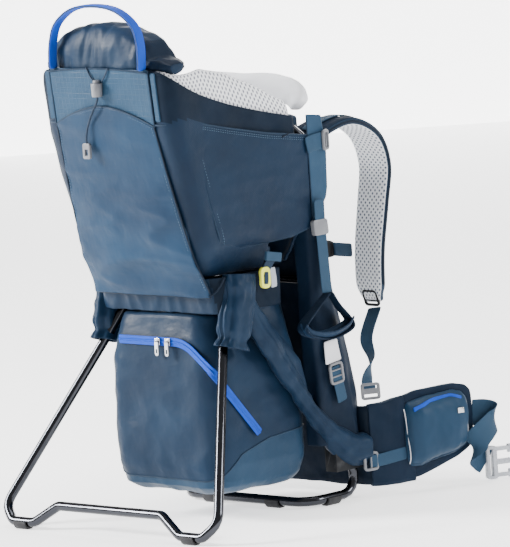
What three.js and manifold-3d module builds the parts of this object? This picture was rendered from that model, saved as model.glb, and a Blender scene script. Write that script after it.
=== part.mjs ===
// Framed baby carrier backpack, in millimetres, +Z up, standing on its kickstand and base frame.
// X runs across the wearer's back, +Y points to the wearer, and the floor is z = 0.
import * as THREE from "three";
import Module from "manifold-3d";
import { mergeVertices } from "three/addons/utils/BufferGeometryUtils.js";

const wasm = await Module();
wasm.setup();

// ---- driving dimensions -------------------------------------------------------------------
const GAP = 0.3;                 // clearance between pieces that touch
const TUBE = 14;                 // outside diameter of every frame tube
const TUBE_WALL = 1.5;
const FOOT_WRAP = 3;             // rubber under each tube
const FLOOR_AXIS = TUBE / 2 + FOOT_WRAP;      // height of a tube's axis where it rests on a foot
const FRAME_HALF = 125;          // half the distance between the uprights
const FRAME_TOP = 540;
const BASE_FRONT = 85;           // y of the skid's front bend
const BASE_REAR = -18;           // y of the skid's cross tube
const SPLICE = 62;               // height where the uprights meet the skid
const BRACE_REAR = -137;         // y and z of the brace's cross tube
const BRACE_HEIGHT = 322;
const PIVOT = new THREE.Vector3(0, -113, 330);   // the kickstand's hinge axis runs along X here
const BRACKET_X = 64;            // middle of each pivot bracket
const CABIN_HALF = 128;          // half width of the child's cabin
const CABIN_WALL = 7;
const CABIN_FLOOR = 352;
const LEG_NOTCH = 84;            // the child's legs leave the cabin outside this x
const BAG_TOP = 296;             // storage compartment
const BAG_BASE = 40;
const BAG_HALF = 110;
const BAG_REAR = -171;
const BAG_FRONT = 20;
const ZIP_HEIGHT = 259;          // height of the straight stretch of the storage zip
const BELT_END = [149, 124];     // x, y where the fixed part of the hip belt ends
const WING_ROOT = [151, 129];
const WING_TIP = [192, 262];
const WEB = 1.6;                 // thickness of webbing

// ---- materials ----------------------------------------------------------------------------
const material = (color, roughness, metalness = 0) =>
  new THREE.MeshStandardMaterial({ color, roughness, metalness });
const NAVY = material("#16304f", 0.85);
const STEEL_BLUE = material("#5f8099", 0.8);
const BRIGHT_BLUE = material("#2d6fd6", 0.7);
const MESH_GREY = material("#d9dbe0", 0.9);
const BUCKLE_GREY = material("#b9bcc2", 0.45);
const BLACK = material("#17191c", 0.6);
const YELLOW = material("#d9dc46", 0.5);
const ANODISED = material("#5b6068", 0.35, 0.9);
const STEEL = material("#c6c9cf", 0.25, 1);

const vec = (x, y, z) => new THREE.Vector3(x, y, z);
const X_AXIS = vec(1, 0, 0);
const Y_AXIS = vec(0, 1, 0);
const Z_AXIS = vec(0, 0, 1);

const group = new THREE.Group();

function add(name, geometry, look) {
  const mesh = new THREE.Mesh(geometry, look);
  mesh.name = name;
  group.add(mesh);
  return mesh;
}

// ---- solids from rings of points ----------------------------------------------------------

function signedVolume(points, index) {
  let sum = 0;
  for (let i = 0; i < index.length; i += 3) {
    const [a, b, c] = [points[index[i]], points[index[i + 1]], points[index[i + 2]]];
    sum += a.dot(b.clone().cross(c));
  }
  return sum / 6;
}

/** Triangles that fill one ring, wound so that they face along the ring's own turn. */
function fillRing(ring, start) {
  const normal = vec(0, 0, 0);
  ring.forEach((p, i) => normal.add(p.clone().cross(ring[(i + 1) % ring.length])));
  normal.normalize();
  const u = Math.abs(normal.z) < 0.9 ? Z_AXIS.clone().cross(normal) : X_AXIS.clone().cross(normal);
  u.normalize();
  const v = normal.clone().cross(u);
  const flat = ring.map((p) => new THREE.Vector2(p.dot(u), p.dot(v)));
  const faces = THREE.ShapeUtils.triangulateShape(flat, []);
  return faces.flatMap(([a, b, c]) => {
    const turn = flat[b].clone().sub(flat[a]).cross(flat[c].clone().sub(flat[a]));
    return (turn > 0 ? [a, b, c] : [a, c, b]).map((i) => i + start);
  });
}

/** A closed solid through rings that hold equally many points; loop joins the last to the first. */
function loft(rings, loop = false) {
  const count = rings[0].length;
  const points = rings.flat();
  const index = [];
  const bands = loop ? rings.length : rings.length - 1;
  for (let r = 0; r < bands; r++) {
    const a = r * count;
    const b = ((r + 1) % rings.length) * count;
    for (let i = 0; i < count; i++) {
      const j = (i + 1) % count;
      index.push(a + i, a + j, b + j, a + i, b + j, b + i);
    }
  }
  if (!loop) {
    const first = fillRing(rings[0], 0);
    for (let i = 0; i < first.length; i += 3) index.push(first[i], first[i + 2], first[i + 1]);
    index.push(...fillRing(rings.at(-1), points.length - count));
  }
  if (signedVolume(points, index) < 0) index.reverse();
  const geometry = new THREE.BufferGeometry();
  geometry.setAttribute("position", new THREE.Float32BufferAttribute(points.flatMap((p) => p.toArray()), 3));
  geometry.setIndex(index);
  geometry.computeVertexNormals();
  return geometry;
}

/** A polyline with each inner corner rounded by an arc. */
function roundedPath(corners, radius, steps = 4) {
  const path = [corners[0].clone()];
  for (let i = 1; i < corners.length - 1; i++) {
    const corner = corners[i];
    const back = corners[i - 1].clone().sub(corner).normalize();
    const ahead = corners[i + 1].clone().sub(corner).normalize();
    const half = Math.acos(THREE.MathUtils.clamp(back.dot(ahead), -1, 1)) / 2;
    const size = Array.isArray(radius) ? radius[i - 1] : radius;
    const start = corner.clone().addScaledVector(back, size / Math.tan(half));
    const centre = corner.clone().addScaledVector(back.clone().add(ahead).normalize(), size / Math.sin(half));
    const turn = ahead.clone().cross(back).normalize();
    const spoke = start.clone().sub(centre);
    for (let s = 0; s <= steps; s++) {
      const angle = ((Math.PI - 2 * half) * s) / steps;
      path.push(spoke.clone().applyAxisAngle(turn, angle).add(centre));
    }
  }
  path.push(corners.at(-1).clone());
  return path;
}

const smooth = (points, count) => new THREE.CatmullRomCurve3(points, false, "centripetal").getPoints(count);

function tangents(path) {
  return path.map((p, i) => {
    const before = i ? p.clone().sub(path[i - 1]).normalize() : vec(0, 0, 0);
    const after = i < path.length - 1 ? path[i + 1].clone().sub(p).normalize() : vec(0, 0, 0);
    return before.add(after).normalize();
  });
}

/** Rings of a section [[across, out], ...] carried along a path; across stays near the given way,
 * which may also be a function of how far along the path the ring is. */
function carry(path, section, across) {
  const steered = typeof across === "function";
  let side = steered ? across(0) : across.clone();
  return tangents(path).map((along, i) => {
    const share = i / (path.length - 1);
    if (steered) side = across(share);
    side = side.clone().addScaledVector(along, -side.dot(along)).normalize();
    const out = along.clone().cross(side);
    const shape = typeof section === "function" ? section(share) : section;
    return shape.map(([a, b]) => path[i].clone().addScaledVector(side, a).addScaledVector(out, b));
  });
}

const circle = (radius, count) =>
  Array.from({ length: count }, (_, i) => {
    const angle = (2 * Math.PI * i) / count;
    return [radius * Math.cos(angle), radius * Math.sin(angle)];
  });

const strip = (width, thickness) => [
  [-width / 2, -thickness / 2], [width / 2, -thickness / 2],
  [width / 2, thickness / 2], [-width / 2, thickness / 2],
];

/** A flat pad section with softened edges. */
const pad = (width, thickness) => {
  const [w, t] = [width / 2, thickness / 2];
  const e = Math.min(w, t);
  return [[-w, 0], [-w + e * 0.7, -t], [w - e * 0.7, -t], [w, 0], [w - e * 0.7, t], [-w + e * 0.7, t]];
};

/** A section turned about its middle. */
const turned = (section, angle) =>
  section.map(([a, b]) => [
    a * Math.cos(angle) - b * Math.sin(angle),
    a * Math.sin(angle) + b * Math.cos(angle),
  ]);

const rod = (path, diameter, sides = 10, across = X_AXIS) => loft(carry(path, circle(diameter / 2, sides), across));

/** A tube that is open right through. */
function pipe(path, diameter, wall, sides = 10, across = X_AXIS) {
  const outer = carry(path, circle(diameter / 2, sides), across);
  const inner = carry(path, circle(diameter / 2 - wall, sides), across);
  return loft([...outer, ...inner.reverse()], true);
}

const ribbon = (path, width, across, thickness = WEB) => loft(carry(path, strip(width, thickness), across));

function block(x0, x1, y0, y1, z0, z1) {
  const geometry = new THREE.BoxGeometry(x1 - x0, y1 - y0, z1 - z0);
  return geometry.translate((x0 + x1) / 2, (y0 + y1) / 2, (z0 + z1) / 2);
}

/** A flat plate with rounded corners and windows [[x, y, width, height], ...], lying in X and Y. */
function plate(width, height, thickness, corner, windows = []) {
  const [w, h] = [width / 2, height / 2];
  const shape = new THREE.Shape();
  shape.moveTo(-w + corner, -h);
  shape.lineTo(w - corner, -h).absarc(w - corner, -h + corner, corner, -Math.PI / 2, 0, false);
  shape.lineTo(w, h - corner).absarc(w - corner, h - corner, corner, 0, Math.PI / 2, false);
  shape.lineTo(-w + corner, h).absarc(-w + corner, h - corner, corner, Math.PI / 2, Math.PI, false);
  shape.lineTo(-w, -h + corner).absarc(-w + corner, -h + corner, corner, Math.PI, 1.5 * Math.PI, false);
  for (const [x, y, wide, high] of windows) {
    const hole = new THREE.Path();
    hole.moveTo(x - wide / 2, y - high / 2).lineTo(x - wide / 2, y + high / 2);
    hole.lineTo(x + wide / 2, y + high / 2).lineTo(x + wide / 2, y - high / 2).closePath();
    shape.holes.push(hole);
  }
  const options = { depth: thickness, bevelEnabled: false, curveSegments: 2 };
  return new THREE.ExtrudeGeometry(shape, options).translate(0, 0, -thickness / 2);
}

/** Puts a geometry so that its X, Y and Z run along across, along and their cross product. */
function place(geometry, at, across, along) {
  const x = across.clone().normalize();
  const z = x.clone().cross(along).normalize();
  const y = z.clone().cross(x);
  return geometry.applyMatrix4(new THREE.Matrix4().makeBasis(x, y, z).setPosition(at));
}

// ---- joining and cutting ------------------------------------------------------------------

function toManifold(geometry) {
  const bare = geometry.clone();
  for (const name of Object.keys(bare.attributes)) if (name !== "position") bare.deleteAttribute(name);
  const merged = mergeVertices(bare, 1e-4);
  const vertProperties = new Float32Array(merged.attributes.position.array);
  const triVerts = new Uint32Array(merged.index.array);
  return new wasm.Manifold(new wasm.Mesh({ numProp: 3, vertProperties, triVerts }));
}

function fromManifold(solid) {
  const mesh = solid.getMesh();
  const geometry = new THREE.BufferGeometry();
  geometry.setAttribute("position", new THREE.BufferAttribute(mesh.vertProperties, 3));
  geometry.setIndex(new THREE.BufferAttribute(mesh.triVerts, 1));
  geometry.computeVertexNormals();
  return geometry;
}

const cut = (geometry, ...tools) =>
  fromManifold(tools.reduce((solid, tool) => solid.subtract(toManifold(tool)), toManifold(geometry)));
const join = (...parts) => fromManifold(parts.map(toManifold).reduce((a, b) => a.add(b)));

/** A copy mirrored to the other side of the carrier. */
function mirrored(geometry) {
  const copy = geometry.clone().scale(-1, 1, 1);
  const flat = copy.index ? copy : mergeVertices(copy);
  flat.index.array.reverse();
  flat.computeVertexNormals();
  return flat;
}

/** The same sub-part on the right (+X) and, mirrored, on the left. */
function addPair(name, geometry, look) {
  add(`${name}_right`, geometry, look);
  add(`${name}_left`, mirrored(geometry), look);
}

// ---- frame --------------------------------------------------------------------------------

const uprightKnee = vec(FRAME_HALF, 28, 300);
const skidFront = vec(FRAME_HALF, BASE_FRONT, FLOOR_AXIS);
const uprightFoot = skidFront.clone().lerp(uprightKnee, (SPLICE - FLOOR_AXIS) / (300 - FLOOR_AXIS));
const uprightHead = vec(FRAME_HALF, 32, FRAME_TOP);
const flip = (p) => vec(-p.x, p.y, p.z);

function uprights() {
  const corners = [uprightFoot, uprightKnee, uprightHead, flip(uprightHead), flip(uprightKnee), flip(uprightFoot)];
  return pipe(roundedPath(corners, [200, 45, 45, 200], 4), TUBE, TUBE_WALL, 10);
}

function skid() {
  const top = uprightFoot.clone().addScaledVector(uprightKnee.clone().sub(skidFront).normalize(), -GAP);
  const rear = vec(FRAME_HALF, BASE_REAR, FLOOR_AXIS);
  const corners = [top, skidFront, rear, flip(rear), flip(skidFront), flip(top)];
  return pipe(roundedPath(corners, [24, 30, 30, 24], 4), TUBE, TUBE_WALL, 10);
}

const braceFoot = vec(FRAME_HALF, 48, 75);
const braceCorner = vec(FRAME_HALF, BRACE_REAR, BRACE_HEIGHT);

function brace() {
  const corners = [braceFoot, braceCorner, flip(braceCorner), flip(braceFoot)];
  return pipe(roundedPath(corners, 26, 4), TUBE, TUBE_WALL, 10);
}

/** A socket that holds the brace's lower end and clamps the joint between upright and skid. */
function frameLug() {
  const body = block(FRAME_HALF - 11, FRAME_HALF + 11, 36, 88, 46, 90);
  const bore = TUBE + 2 * GAP;
  const along = uprightKnee.clone().sub(skidFront).normalize();
  const reach = (from, way, back, ahead) =>
    rod([from.clone().addScaledVector(way, -back), from.clone().addScaledVector(way, ahead)], bore, 16);
  const slope = braceCorner.clone().sub(braceFoot).normalize();
  return cut(body, reach(uprightFoot, along, 60, 60), reach(braceFoot, slope, GAP, 60));
}

/** The welded bars that carry the seat: one between the uprights, two back to the brace. */
function seatFrame() {
  const end = FRAME_HALF - TUBE / 2 - GAP;
  const front = 28;
  const bar = rod([vec(-end, front, BRACE_HEIGHT), vec(end, front, BRACE_HEIGHT)], 12, 10, Y_AXIS);
  const rear = BRACE_REAR + TUBE / 2 + GAP;
  const struts = [-30, 30].map((x) => rod([vec(x, rear, BRACE_HEIGHT), vec(x, front, BRACE_HEIGHT)], 12, 8));
  return join(bar, ...struts);
}

/** A rubber clip that wraps the underside of a tube; the wrap is open at the top. */
function footClip(length) {
  const inner = TUBE / 2 + GAP;
  const outer = FLOOR_AXIS;
  const arc = Array.from({ length: 9 }, (_, i) => Math.PI * (0.95 + (1.1 * i) / 8));
  const profile = [
    ...arc.map((a) => [outer * 1.02 * Math.cos(a), Math.max(outer * 1.12 * Math.sin(a), -outer)]),
    ...arc.reverse().map((a) => [inner * Math.cos(a), inner * Math.sin(a)]),
  ];
  return loft([-length / 2, length / 2].map((x) => profile.map(([y, z]) => vec(x, y, z))));
}

function frame() {
  add("upright_tube", uprights(), ANODISED);
  add("skid_tube", skid(), ANODISED);
  add("brace_tube", brace(), ANODISED);
  addPair("frame_lug", frameLug(), BLACK);
  add("seat_frame", seatFrame(), ANODISED);
  addPair("skid_foot_side", footClip(26).rotateZ(Math.PI / 2).translate(FRAME_HALF, 30, FLOOR_AXIS), BLACK);
  addPair("skid_foot_rear", footClip(26).translate(62, BASE_REAR, FLOOR_AXIS), BLACK);
}

// ---- kickstand ----------------------------------------------------------------------------

const JOURNAL_END = BRACKET_X - 16;
const footPoint = vec(166, -294, FLOOR_AXIS);

function kickstandTube() {
  const journal = vec(JOURNAL_END, PIVOT.y, PIVOT.z);
  const hip = vec(86, PIVOT.y, PIVOT.z);
  const knee = vec(213, -283.5, 30);
  const bar = vec(104, -284, 35);
  const corners = [journal, hip, knee, vec(190, -294, FLOOR_AXIS), vec(146, -294, FLOOR_AXIS), bar];
  const right = corners;
  const left = corners.map(flip).reverse();
  return pipe(roundedPath([...right, ...left], [12, 22, 14, 20, 18, 18, 20, 14, 22, 12], 3), TUBE, TUBE_WALL, 10, Y_AXIS);
}

/** A block fixed on the brace's cross tube, with a bore for the kickstand's journal. */
function pivotBracket() {
  const outline = new THREE.Shape();
  const [yRear, yFront] = [BRACE_REAR, PIVOT.y];
  const slope = Math.atan2(PIVOT.z - BRACE_HEIGHT, yFront - yRear);
  outline.absarc(yRear, BRACE_HEIGHT, 11, slope + Math.PI / 2, slope + 1.5 * Math.PI, false);
  outline.absarc(yFront, PIVOT.z, 11, slope - Math.PI / 2, slope + Math.PI / 2, false);
  const bore = TUBE / 2 + GAP;
  for (const [y, z] of [[yRear, BRACE_HEIGHT], [yFront, PIVOT.z]]) {
    outline.holes.push(new THREE.Path().absarc(y, z, bore, 0, 2 * Math.PI, false));
  }
  const geometry = new THREE.ExtrudeGeometry(outline, { depth: 20, bevelEnabled: false, curveSegments: 10 });
  return place(geometry, vec(BRACKET_X - 10, 0, 0), Y_AXIS, Z_AXIS);
}

function kickstand() {
  add("kickstand_tube", kickstandTube(), ANODISED);
  addPair("pivot_bracket", pivotBracket(), BLACK);
  addPair("kickstand_foot", footClip(24).translate(footPoint.x + 2, footPoint.y, FLOOR_AXIS), BLACK);
}

// ---- child's cabin ------------------------------------------------------------------------

const REAR_FACE = [[300, -160], [333, -167], [380, -188], [434, -203], [510, -222], [573, -236], [654, -243], [712, -228]];

/** y of the rear panel at a height. */
function rearAt(z) {
  for (let i = 1; i < REAR_FACE.length; i++) {
    const [[z0, y0], [z1, y1]] = [REAR_FACE[i - 1], REAR_FACE[i]];
    if (z <= z1 || i === REAR_FACE.length - 1) return y0 + ((y1 - y0) * (z - z0)) / (z1 - z0);
  }
}

/** One level of the cabin, as a rounded rectangle in plan whose rim falls toward the wearer. */
function cabinRing(half, rear, front, height, corner) {
  const ring = [];
  const corners = [[half, rear, -90], [half, front, 0], [-half, front, 90], [-half, rear, 180]];
  for (const [x, y, from] of corners) {
    const [cx, cy] = [x - Math.sign(x) * corner, y + (y === rear ? corner : -corner)];
    for (let s = 0; s <= 3; s++) {
      const angle = THREE.MathUtils.degToRad(from + 30 * s);
      const p = vec(cx + corner * Math.cos(angle), cy + corner * Math.sin(angle), 0);
      p.z = height(p.y);
      ring.push(p);
    }
    if (x > 0 && y === rear) for (const t of [0.33, 0.67]) {
      const p = vec(half, rear + corner + (front - rear - 2 * corner) * t, 0);
      p.z = height(p.y);
      ring.push(p);
    }
    if (x < 0 && y === front) for (const t of [0.67, 0.33]) {
      const p = vec(-half, rear + corner + (front - rear - 2 * corner) * t, 0);
      p.z = height(p.y);
      ring.push(p);
    }
  }
  return ring;
}

const CABIN_FRONT = 16;
const FLARE = 5;                 // the cabin is this much wider at the front and narrower behind

const flared = (ring) => ring.map((p) => {
  const share = THREE.MathUtils.mapLinear(p.y, -240, CABIN_FRONT, -1, 1);
  return vec(p.x + Math.sign(p.x) * FLARE * share, p.y, p.z);
});
const rimHeight = (y) => THREE.MathUtils.mapLinear(Math.sqrt(Math.max(y + 245, 0)), 0, Math.sqrt(265), 668, 556);

const cabinLevels = [
  // half width, front y, height
  [104, 10, () => CABIN_FLOOR],
  [124, CABIN_FRONT, (y) => 394 + Math.max(y + 60, 0) * 0.1],
  [CABIN_HALF, CABIN_FRONT, () => 470],
  [CABIN_HALF, CABIN_FRONT, (y) => 470 + (rimHeight(y) - 470) * 0.6],
  [CABIN_HALF, CABIN_FRONT, rimHeight],
];

function cabinRings(inset, raise = 0) {
  return cabinLevels.map(([half, front, height], i) => {
    const rear = rearAt([CABIN_FLOOR, 394, 470, 590, 662][i]);
    const level = (y) => height(y) + (i === 0 ? raise : 0);
    return flared(cabinRing(half - inset, rear + inset, front - inset, level, 26 - inset * 0.6));
  });
}

/** The flap that carries the cabin's side forward, outside the upright. */
function cabinFlap() {
  const [inside, outside] = [FRAME_HALF + TUBE / 2 + 0.6, FRAME_HALF + TUBE / 2 + 4.4];
  const outline = [[-20, 440], [6, 435], [22, 432], [40, 446], [46, 468], [46, 556], [6, 556], [-20, 556]];
  return loft([inside, outside].map((x) => outline.map(([y, z]) => vec(x - (y < 0 ? 4 : 0), y, z))));
}

function cabinShell() {
  const shell = loft([...cabinRings(0), ...cabinRings(CABIN_WALL, CABIN_WALL).reverse()]);
  const flap = cabinFlap();
  const notch = (side) => {
    const ring = (x) => [[-54, 340], [4, 340], [4, 386], [-10, 400], [-40, 400], [-54, 388]].map(([y, z]) => vec(side * x, y, z));
    return loft([ring(LEG_NOTCH), ring(LEG_NOTCH + 70)]);
  };
  return cut(join(shell, flap, mirrored(flap)), notch(1), notch(-1));
}

/** A light mesh liner inside the upper part of the cabin, proud of the rim. */
function cabinLiner() {
  const inset = CABIN_WALL + GAP;
  const ring = (depth, drop) => {
    const rear = rearAt(590) + depth + 4;
    return flared(cabinRing(CABIN_HALF - depth - 1, rear, CABIN_FRONT - depth, (y) => rimHeight(y) + drop, 24));
  };
  return loft([ring(inset, -70), ring(inset, 6), ring(inset + 5, 6), ring(inset + 5, -70)], true);
}

/** A saddle-shaped seat: broad at the back, narrow where the child's legs pass. */
function childSeat() {
  const section = (t) => {
    const half = THREE.MathUtils.lerp(92, 44, Math.min(1, t * 1.3));
    return [[-half, -9], [half, -9], [half + 3, 0], [half - 6, 9], [0, 6], [-half + 6, 9], [-half - 3, 0]];
  };
  const path = [vec(0, -150, 398), vec(0, -110, 390), vec(0, -60, 388), vec(0, -20, 396), vec(0, -4, 416)];
  return loft(carry(path, section, X_AXIS));
}

/** The child's harness: two straps down the back wall, sewn to one buckle. */
function childHarness() {
  const route = [vec(44, -202, 600), vec(42, -180, 560), vec(34, -152, 520), vec(14, -126, 504)];
  const straps = [1, -1].map((side) => {
    const path = smooth(route.map((p) => vec(p.x * side, p.y, p.z)), 6);
    return loft(carry(path, pad(30, 6), X_AXIS));
  });
  return join(place(plate(46, 40, 9, 8), vec(0, -120, 502), X_AXIS, vec(0, 0.6, -1)), ...straps);
}

/** The padded bar that the child's chin rests on, across the front of the cabin. */
function chinPad() {
  const right = [vec(118, 30, 576), vec(104, 32, 587), vec(60, 34, 592)];
  const path = smooth([...right.map(flip), vec(0, 35, 593), ...right.slice().reverse()], 10);
  return loft(carry(path, (t) => pad(26 + 12 * Math.sin(Math.PI * t), 24), Z_AXIS));
}

/** The rolled sun roof and head rest in its pouch on top of the rear wall. */
function headrestPouch() {
  const levels = [[110, 15, 662], [112, 21, 672], [102, 22, 688], [80, 19, 702], [50, 12, 711]];
  return loft(levels.map(([half, depth, z]) => {
    const middle = -204;
    return cabinRing(half, middle - depth, middle + depth, () => z, Math.min(depth - 1, 20));
  }));
}

/** A webbing handle: flat on the rear panel at its ends, turned edge-on over the pouch. */
function carryHandle() {
  const side = [[90, -247, 636], [92, -247, 662], [90, -245, 690], [78, -244, 715], [44, -244, 735]];
  const half = side.map(([x, y, z]) => vec(x, y, z));
  const path = smooth([...half.map(flip), vec(0, -244, 741), ...half.slice().reverse()], 20);
  const section = (t) => {
    const angle = 0.5 * Math.PI * (1 - THREE.MathUtils.smoothstep(Math.min(t, 1 - t), 0.04, 0.2));
    return turned(pad(25, 5), angle * (t < 0.5 ? 1 : -1));
  };
  return loft(carry(path, section, Y_AXIS));
}

function cabin() {
  add("cabin_shell", cabinShell(), NAVY);
  add("cabin_liner", cabinLiner(), MESH_GREY);
  add("child_seat", childSeat(), NAVY);
  add("child_harness", childHarness(), NAVY);
  add("chin_pad", chinPad(), MESH_GREY);
  add("headrest_pouch", headrestPouch(), STEEL_BLUE);
  add("carry_handle", carryHandle(), BRIGHT_BLUE);
}

// ---- rear panel ---------------------------------------------------------------------------

const POCKET_THICK = 7;

/** The stretch pocket, flat on the rear panel, with an arched top edge. */
function rearPocket() {
  const columns = [-1, -0.75, -0.5, -0.25, 0, 0.25, 0.5, 0.75, 1];
  const rows = [0, 0.2, 0.4, 0.6, 0.8, 1];
  const point = (u, v, out) => {
    const top = 600 - 28 * u * u;
    const z = THREE.MathUtils.lerp(325, top, v);
    const x = u * THREE.MathUtils.lerp(114, 95, v);
    return vec(x, rearAt(z) - GAP - 3 - out, z);
  };
  const rings = rows.map((v) => [
    ...columns.map((u) => point(u, v, POCKET_THICK * (1 - 0.6 * Math.abs(u) ** 3))),
    ...columns.slice().reverse().map((u) => point(u, v, 0)),
  ]);
  return loft(rings);
}

const WAIST_HALF = 137;
const WAIST_BASE = 300;

/** The fabric waist that hides the pivots, with a sleeve hanging round each kickstand leg. */
function waistBand() {
  const wall = 4;
  const ring = (z) => {
    const turn = (half, rear) =>
      roundedPath([vec(half, -40, z), vec(half, rear, z), vec(-half, rear, z), vec(-half, -40, z)], 30, 3);
    return [...turn(WAIST_HALF, rearAt(z)), ...turn(WAIST_HALF - wall, rearAt(z) + wall).reverse()];
  };
  const band = loft([ring(WAIST_BASE), ring(326), ring(CABIN_FLOOR - GAP)]);
  const sleeve = (z, outer, rear, front) => {
    const turn = (wall) =>
      roundedPath([vec(106, rear + wall, z), vec(outer - wall, rear + wall, z), vec(outer - wall, front, z)], 16, 3);
    return [...turn(0), ...turn(3).reverse()];
  };
  const legSleeve = loft([sleeve(WAIST_BASE + 8, 136, -150, -70), sleeve(252, 140, -184, -100)]);
  return join(band, legSleeve, mirrored(legSleeve));
}

const LOCK = vec(2, -252.6, 624);      // middle of the cord lock

function cordLock() {
  const body = new THREE.CylinderGeometry(8.5, 7.5, 19, 12).rotateX(Math.PI / 2).translate(LOCK.x, LOCK.y, LOCK.z);
  const bore = new THREE.CylinderGeometry(5.3, 5.3, 14, 10).rotateX(Math.PI / 2);
  return cut(body, bore.translate(LOCK.x, LOCK.y, LOCK.z + 5.5));
}

function cordLockButton() {
  const button = new THREE.CylinderGeometry(5, 5, 12, 10).rotateX(Math.PI / 2);
  return button.translate(LOCK.x, LOCK.y, LOCK.z + 8);
}

/** The drawcord, down from the seam under the pouch, round behind the cord lock and up again. */
function drawcord() {
  const bottom = vec(LOCK.x, LOCK.y + 10.7, LOCK.z - 4);
  const side = (way) => [vec(LOCK.x + way * 22, -246.5, 655), vec(LOCK.x + way * 11, -243.4, 636)];
  return rod(smooth([...side(-1), bottom, ...side(1).reverse()], 8), 2.4, 6, X_AXIS);
}

const TAIL_ROUTE = [
  [2, -252.6, 613.9], [1.5, -252.6, 610], [-1, -252.6, 605], [-5, -252.3, 600], [-9, -251.8, 595],
  [-13, -251, 590], [-17, -250.5, 585], [-20, -250, 580], [-23, -249.5, 575], [-26, -249, 570],
  [-28, -248.5, 565], [-30, -248, 560], [-31, -247.5, 556], [-32, -247, 552], [-32, -247, 548],
];

function drawcordTail() {
  return rod(TAIL_ROUTE.map(([x, y, z]) => vec(x, y, z)), 3, 8, X_AXIS);
}

function pullTab() {
  const tab = plate(14, 22, 4, 3, [[0, -2, 6, 9]]);
  return place(tab, vec(-32, -247, 548 - GAP - 11), X_AXIS, Z_AXIS);
}

function rearPanel() {
  add("rear_pocket", rearPocket(), STEEL_BLUE);
  add("waist_band", waistBand(), NAVY);
  add("cord_lock", cordLock(), BUCKLE_GREY);
  add("cord_lock_button", cordLockButton(), BUCKLE_GREY);
  add("drawcord", drawcord(), NAVY);
  add("drawcord_tail", drawcordTail(), NAVY);
  add("pull_tab", pullTab(), BUCKLE_GREY);
}

// ---- storage compartment ------------------------------------------------------------------

function storageBag() {
  const levels = [
    // half width, rear y, front y, height, corner
    [92, BAG_REAR + 24, BAG_FRONT - 30, BAG_BASE, 24],
    [104, BAG_REAR + 6, BAG_FRONT - 8, BAG_BASE + 10, 32],
    [BAG_HALF, BAG_REAR, BAG_FRONT, 80, 36],
    [BAG_HALF, BAG_REAR, BAG_FRONT - 8, 225, 36],
    [98, BAG_REAR, BAG_FRONT - 10, 262, 34],
    [86, BAG_REAR + 12, BAG_FRONT - 10, BAG_TOP, 30],
  ];
  return loft(levels.map(([half, rear, front, z, corner]) => cabinRing(half, rear, front, () => z, corner)));
}

const ZIP_FACE = BAG_REAR - 2.8;       // outside of the zip's teeth

/** The zip: straight across the rear, then round the corner and down the right side. */
function storageZip() {
  const rear = BAG_REAR - 1.6;
  const side = BAG_HALF + 4;
  const corners = [vec(-72, rear, ZIP_HEIGHT), vec(58, rear, ZIP_HEIGHT), vec(side, rear, 216), vec(side, -92, 122)];
  const along = (t) => Z_AXIS.clone().lerp(Y_AXIS, 0.8 * THREE.MathUtils.smoothstep(t, 0.5, 0.9));
  return loft(carry(roundedPath(corners, [60, 22], 5), strip(9, 2.4), along));
}

function storage() {
  add("storage_bag", storageBag(), STEEL_BLUE);
  add("storage_zip", storageZip(), BRIGHT_BLUE);
  for (const [side, x] of [["right", 28], ["left", 8]]) {
    const back = ZIP_FACE - GAP;
    add(`zip_slider_${side}`, block(x - 5, x + 5, back - 3, back, ZIP_HEIGHT - 5, ZIP_HEIGHT + 5), STEEL);
    const pull = plate(7, 22, 1.8, 3, [[0, -4.4, 3, 6]]);
    add(`zip_pull_${side}`, place(pull, vec(x, back - 3 - GAP - 0.9, ZIP_HEIGHT - 9), X_AXIS, Z_AXIS), STEEL);
  }
}

// ---- harness on the wearer's side ---------------------------------------------------------

function backPanel() {
  const path = smooth([vec(0, 74, 150), vec(0, 63, 200), vec(0, 45, 300), vec(0, 45, 420), vec(0, 48, 556)], 8);
  return loft(carry(path, pad(208, 12), X_AXIS));
}

function lumbarPad() {
  const path = smooth([vec(0, 80, 242), vec(0, 85, 205), vec(0, 92, 166)], 4);
  return loft(carry(path, pad(186, 16), X_AXIS));
}

function shoulderStrap() {
  const route = [
    [62, 65, 496], [74, 92, 524], [84, 140, 535], [88, 186, 511], [88, 205, 466],
    [88, 196, 411], [87, 184, 345], [86, 182, 290], [86, 187, 268],
  ];
  const path = smooth(route.map(([x, y, z]) => vec(x, y, z)), 18);
  return loft(carry(path, (t) => pad(66 - 16 * t, 13), X_AXIS));
}

/** The webbing from a shoulder strap to the hip belt, with half a twist on its way. */
function strapWebbing() {
  const route = [[86, 187, 259], [95, 156, 220], [104, 155, 189], [112, 134, 160], [118, 134, 148]];
  const path = smooth(route.map(([x, y, z]) => vec(x, y, z)), 12);
  const section = (t) => turned(strip(24, WEB), 0.5 * Math.PI * THREE.MathUtils.smoothstep(t, 0.45, 0.9));
  return loft(carry(path, section, X_AXIS));
}

function sternumStrap() {
  const [y, z] = [180, 342];
  const webbing = ribbon([vec(-55, y, z), vec(55, y, z)], 20, Z_AXIS, 2);
  return join(webbing, block(-19, 19, y - 4, y + 4, z - 13, z + 13));
}

const BELT_MIDDLE = 75;

function hipBelt() {
  const [x, y] = BELT_END;
  const corners = [vec(x, y, BELT_MIDDLE), vec(138, 98, BELT_MIDDLE), vec(-138, 98, BELT_MIDDLE), vec(-x, y, BELT_MIDDLE)];
  return loft(carry(roundedPath(corners, 14, 3), pad(116, 12), Z_AXIS));
}

const wingRoot = vec(WING_ROOT[0], WING_ROOT[1], BELT_MIDDLE);
const wingWay = vec(WING_TIP[0], WING_TIP[1], BELT_MIDDLE).sub(wingRoot).normalize();
const wingOut = vec(wingWay.y, -wingWay.x, 0);
const wingAt = (along, out, z) => wingRoot.clone().addScaledVector(wingWay, along).addScaledVector(wingOut, out).setZ(z);

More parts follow.
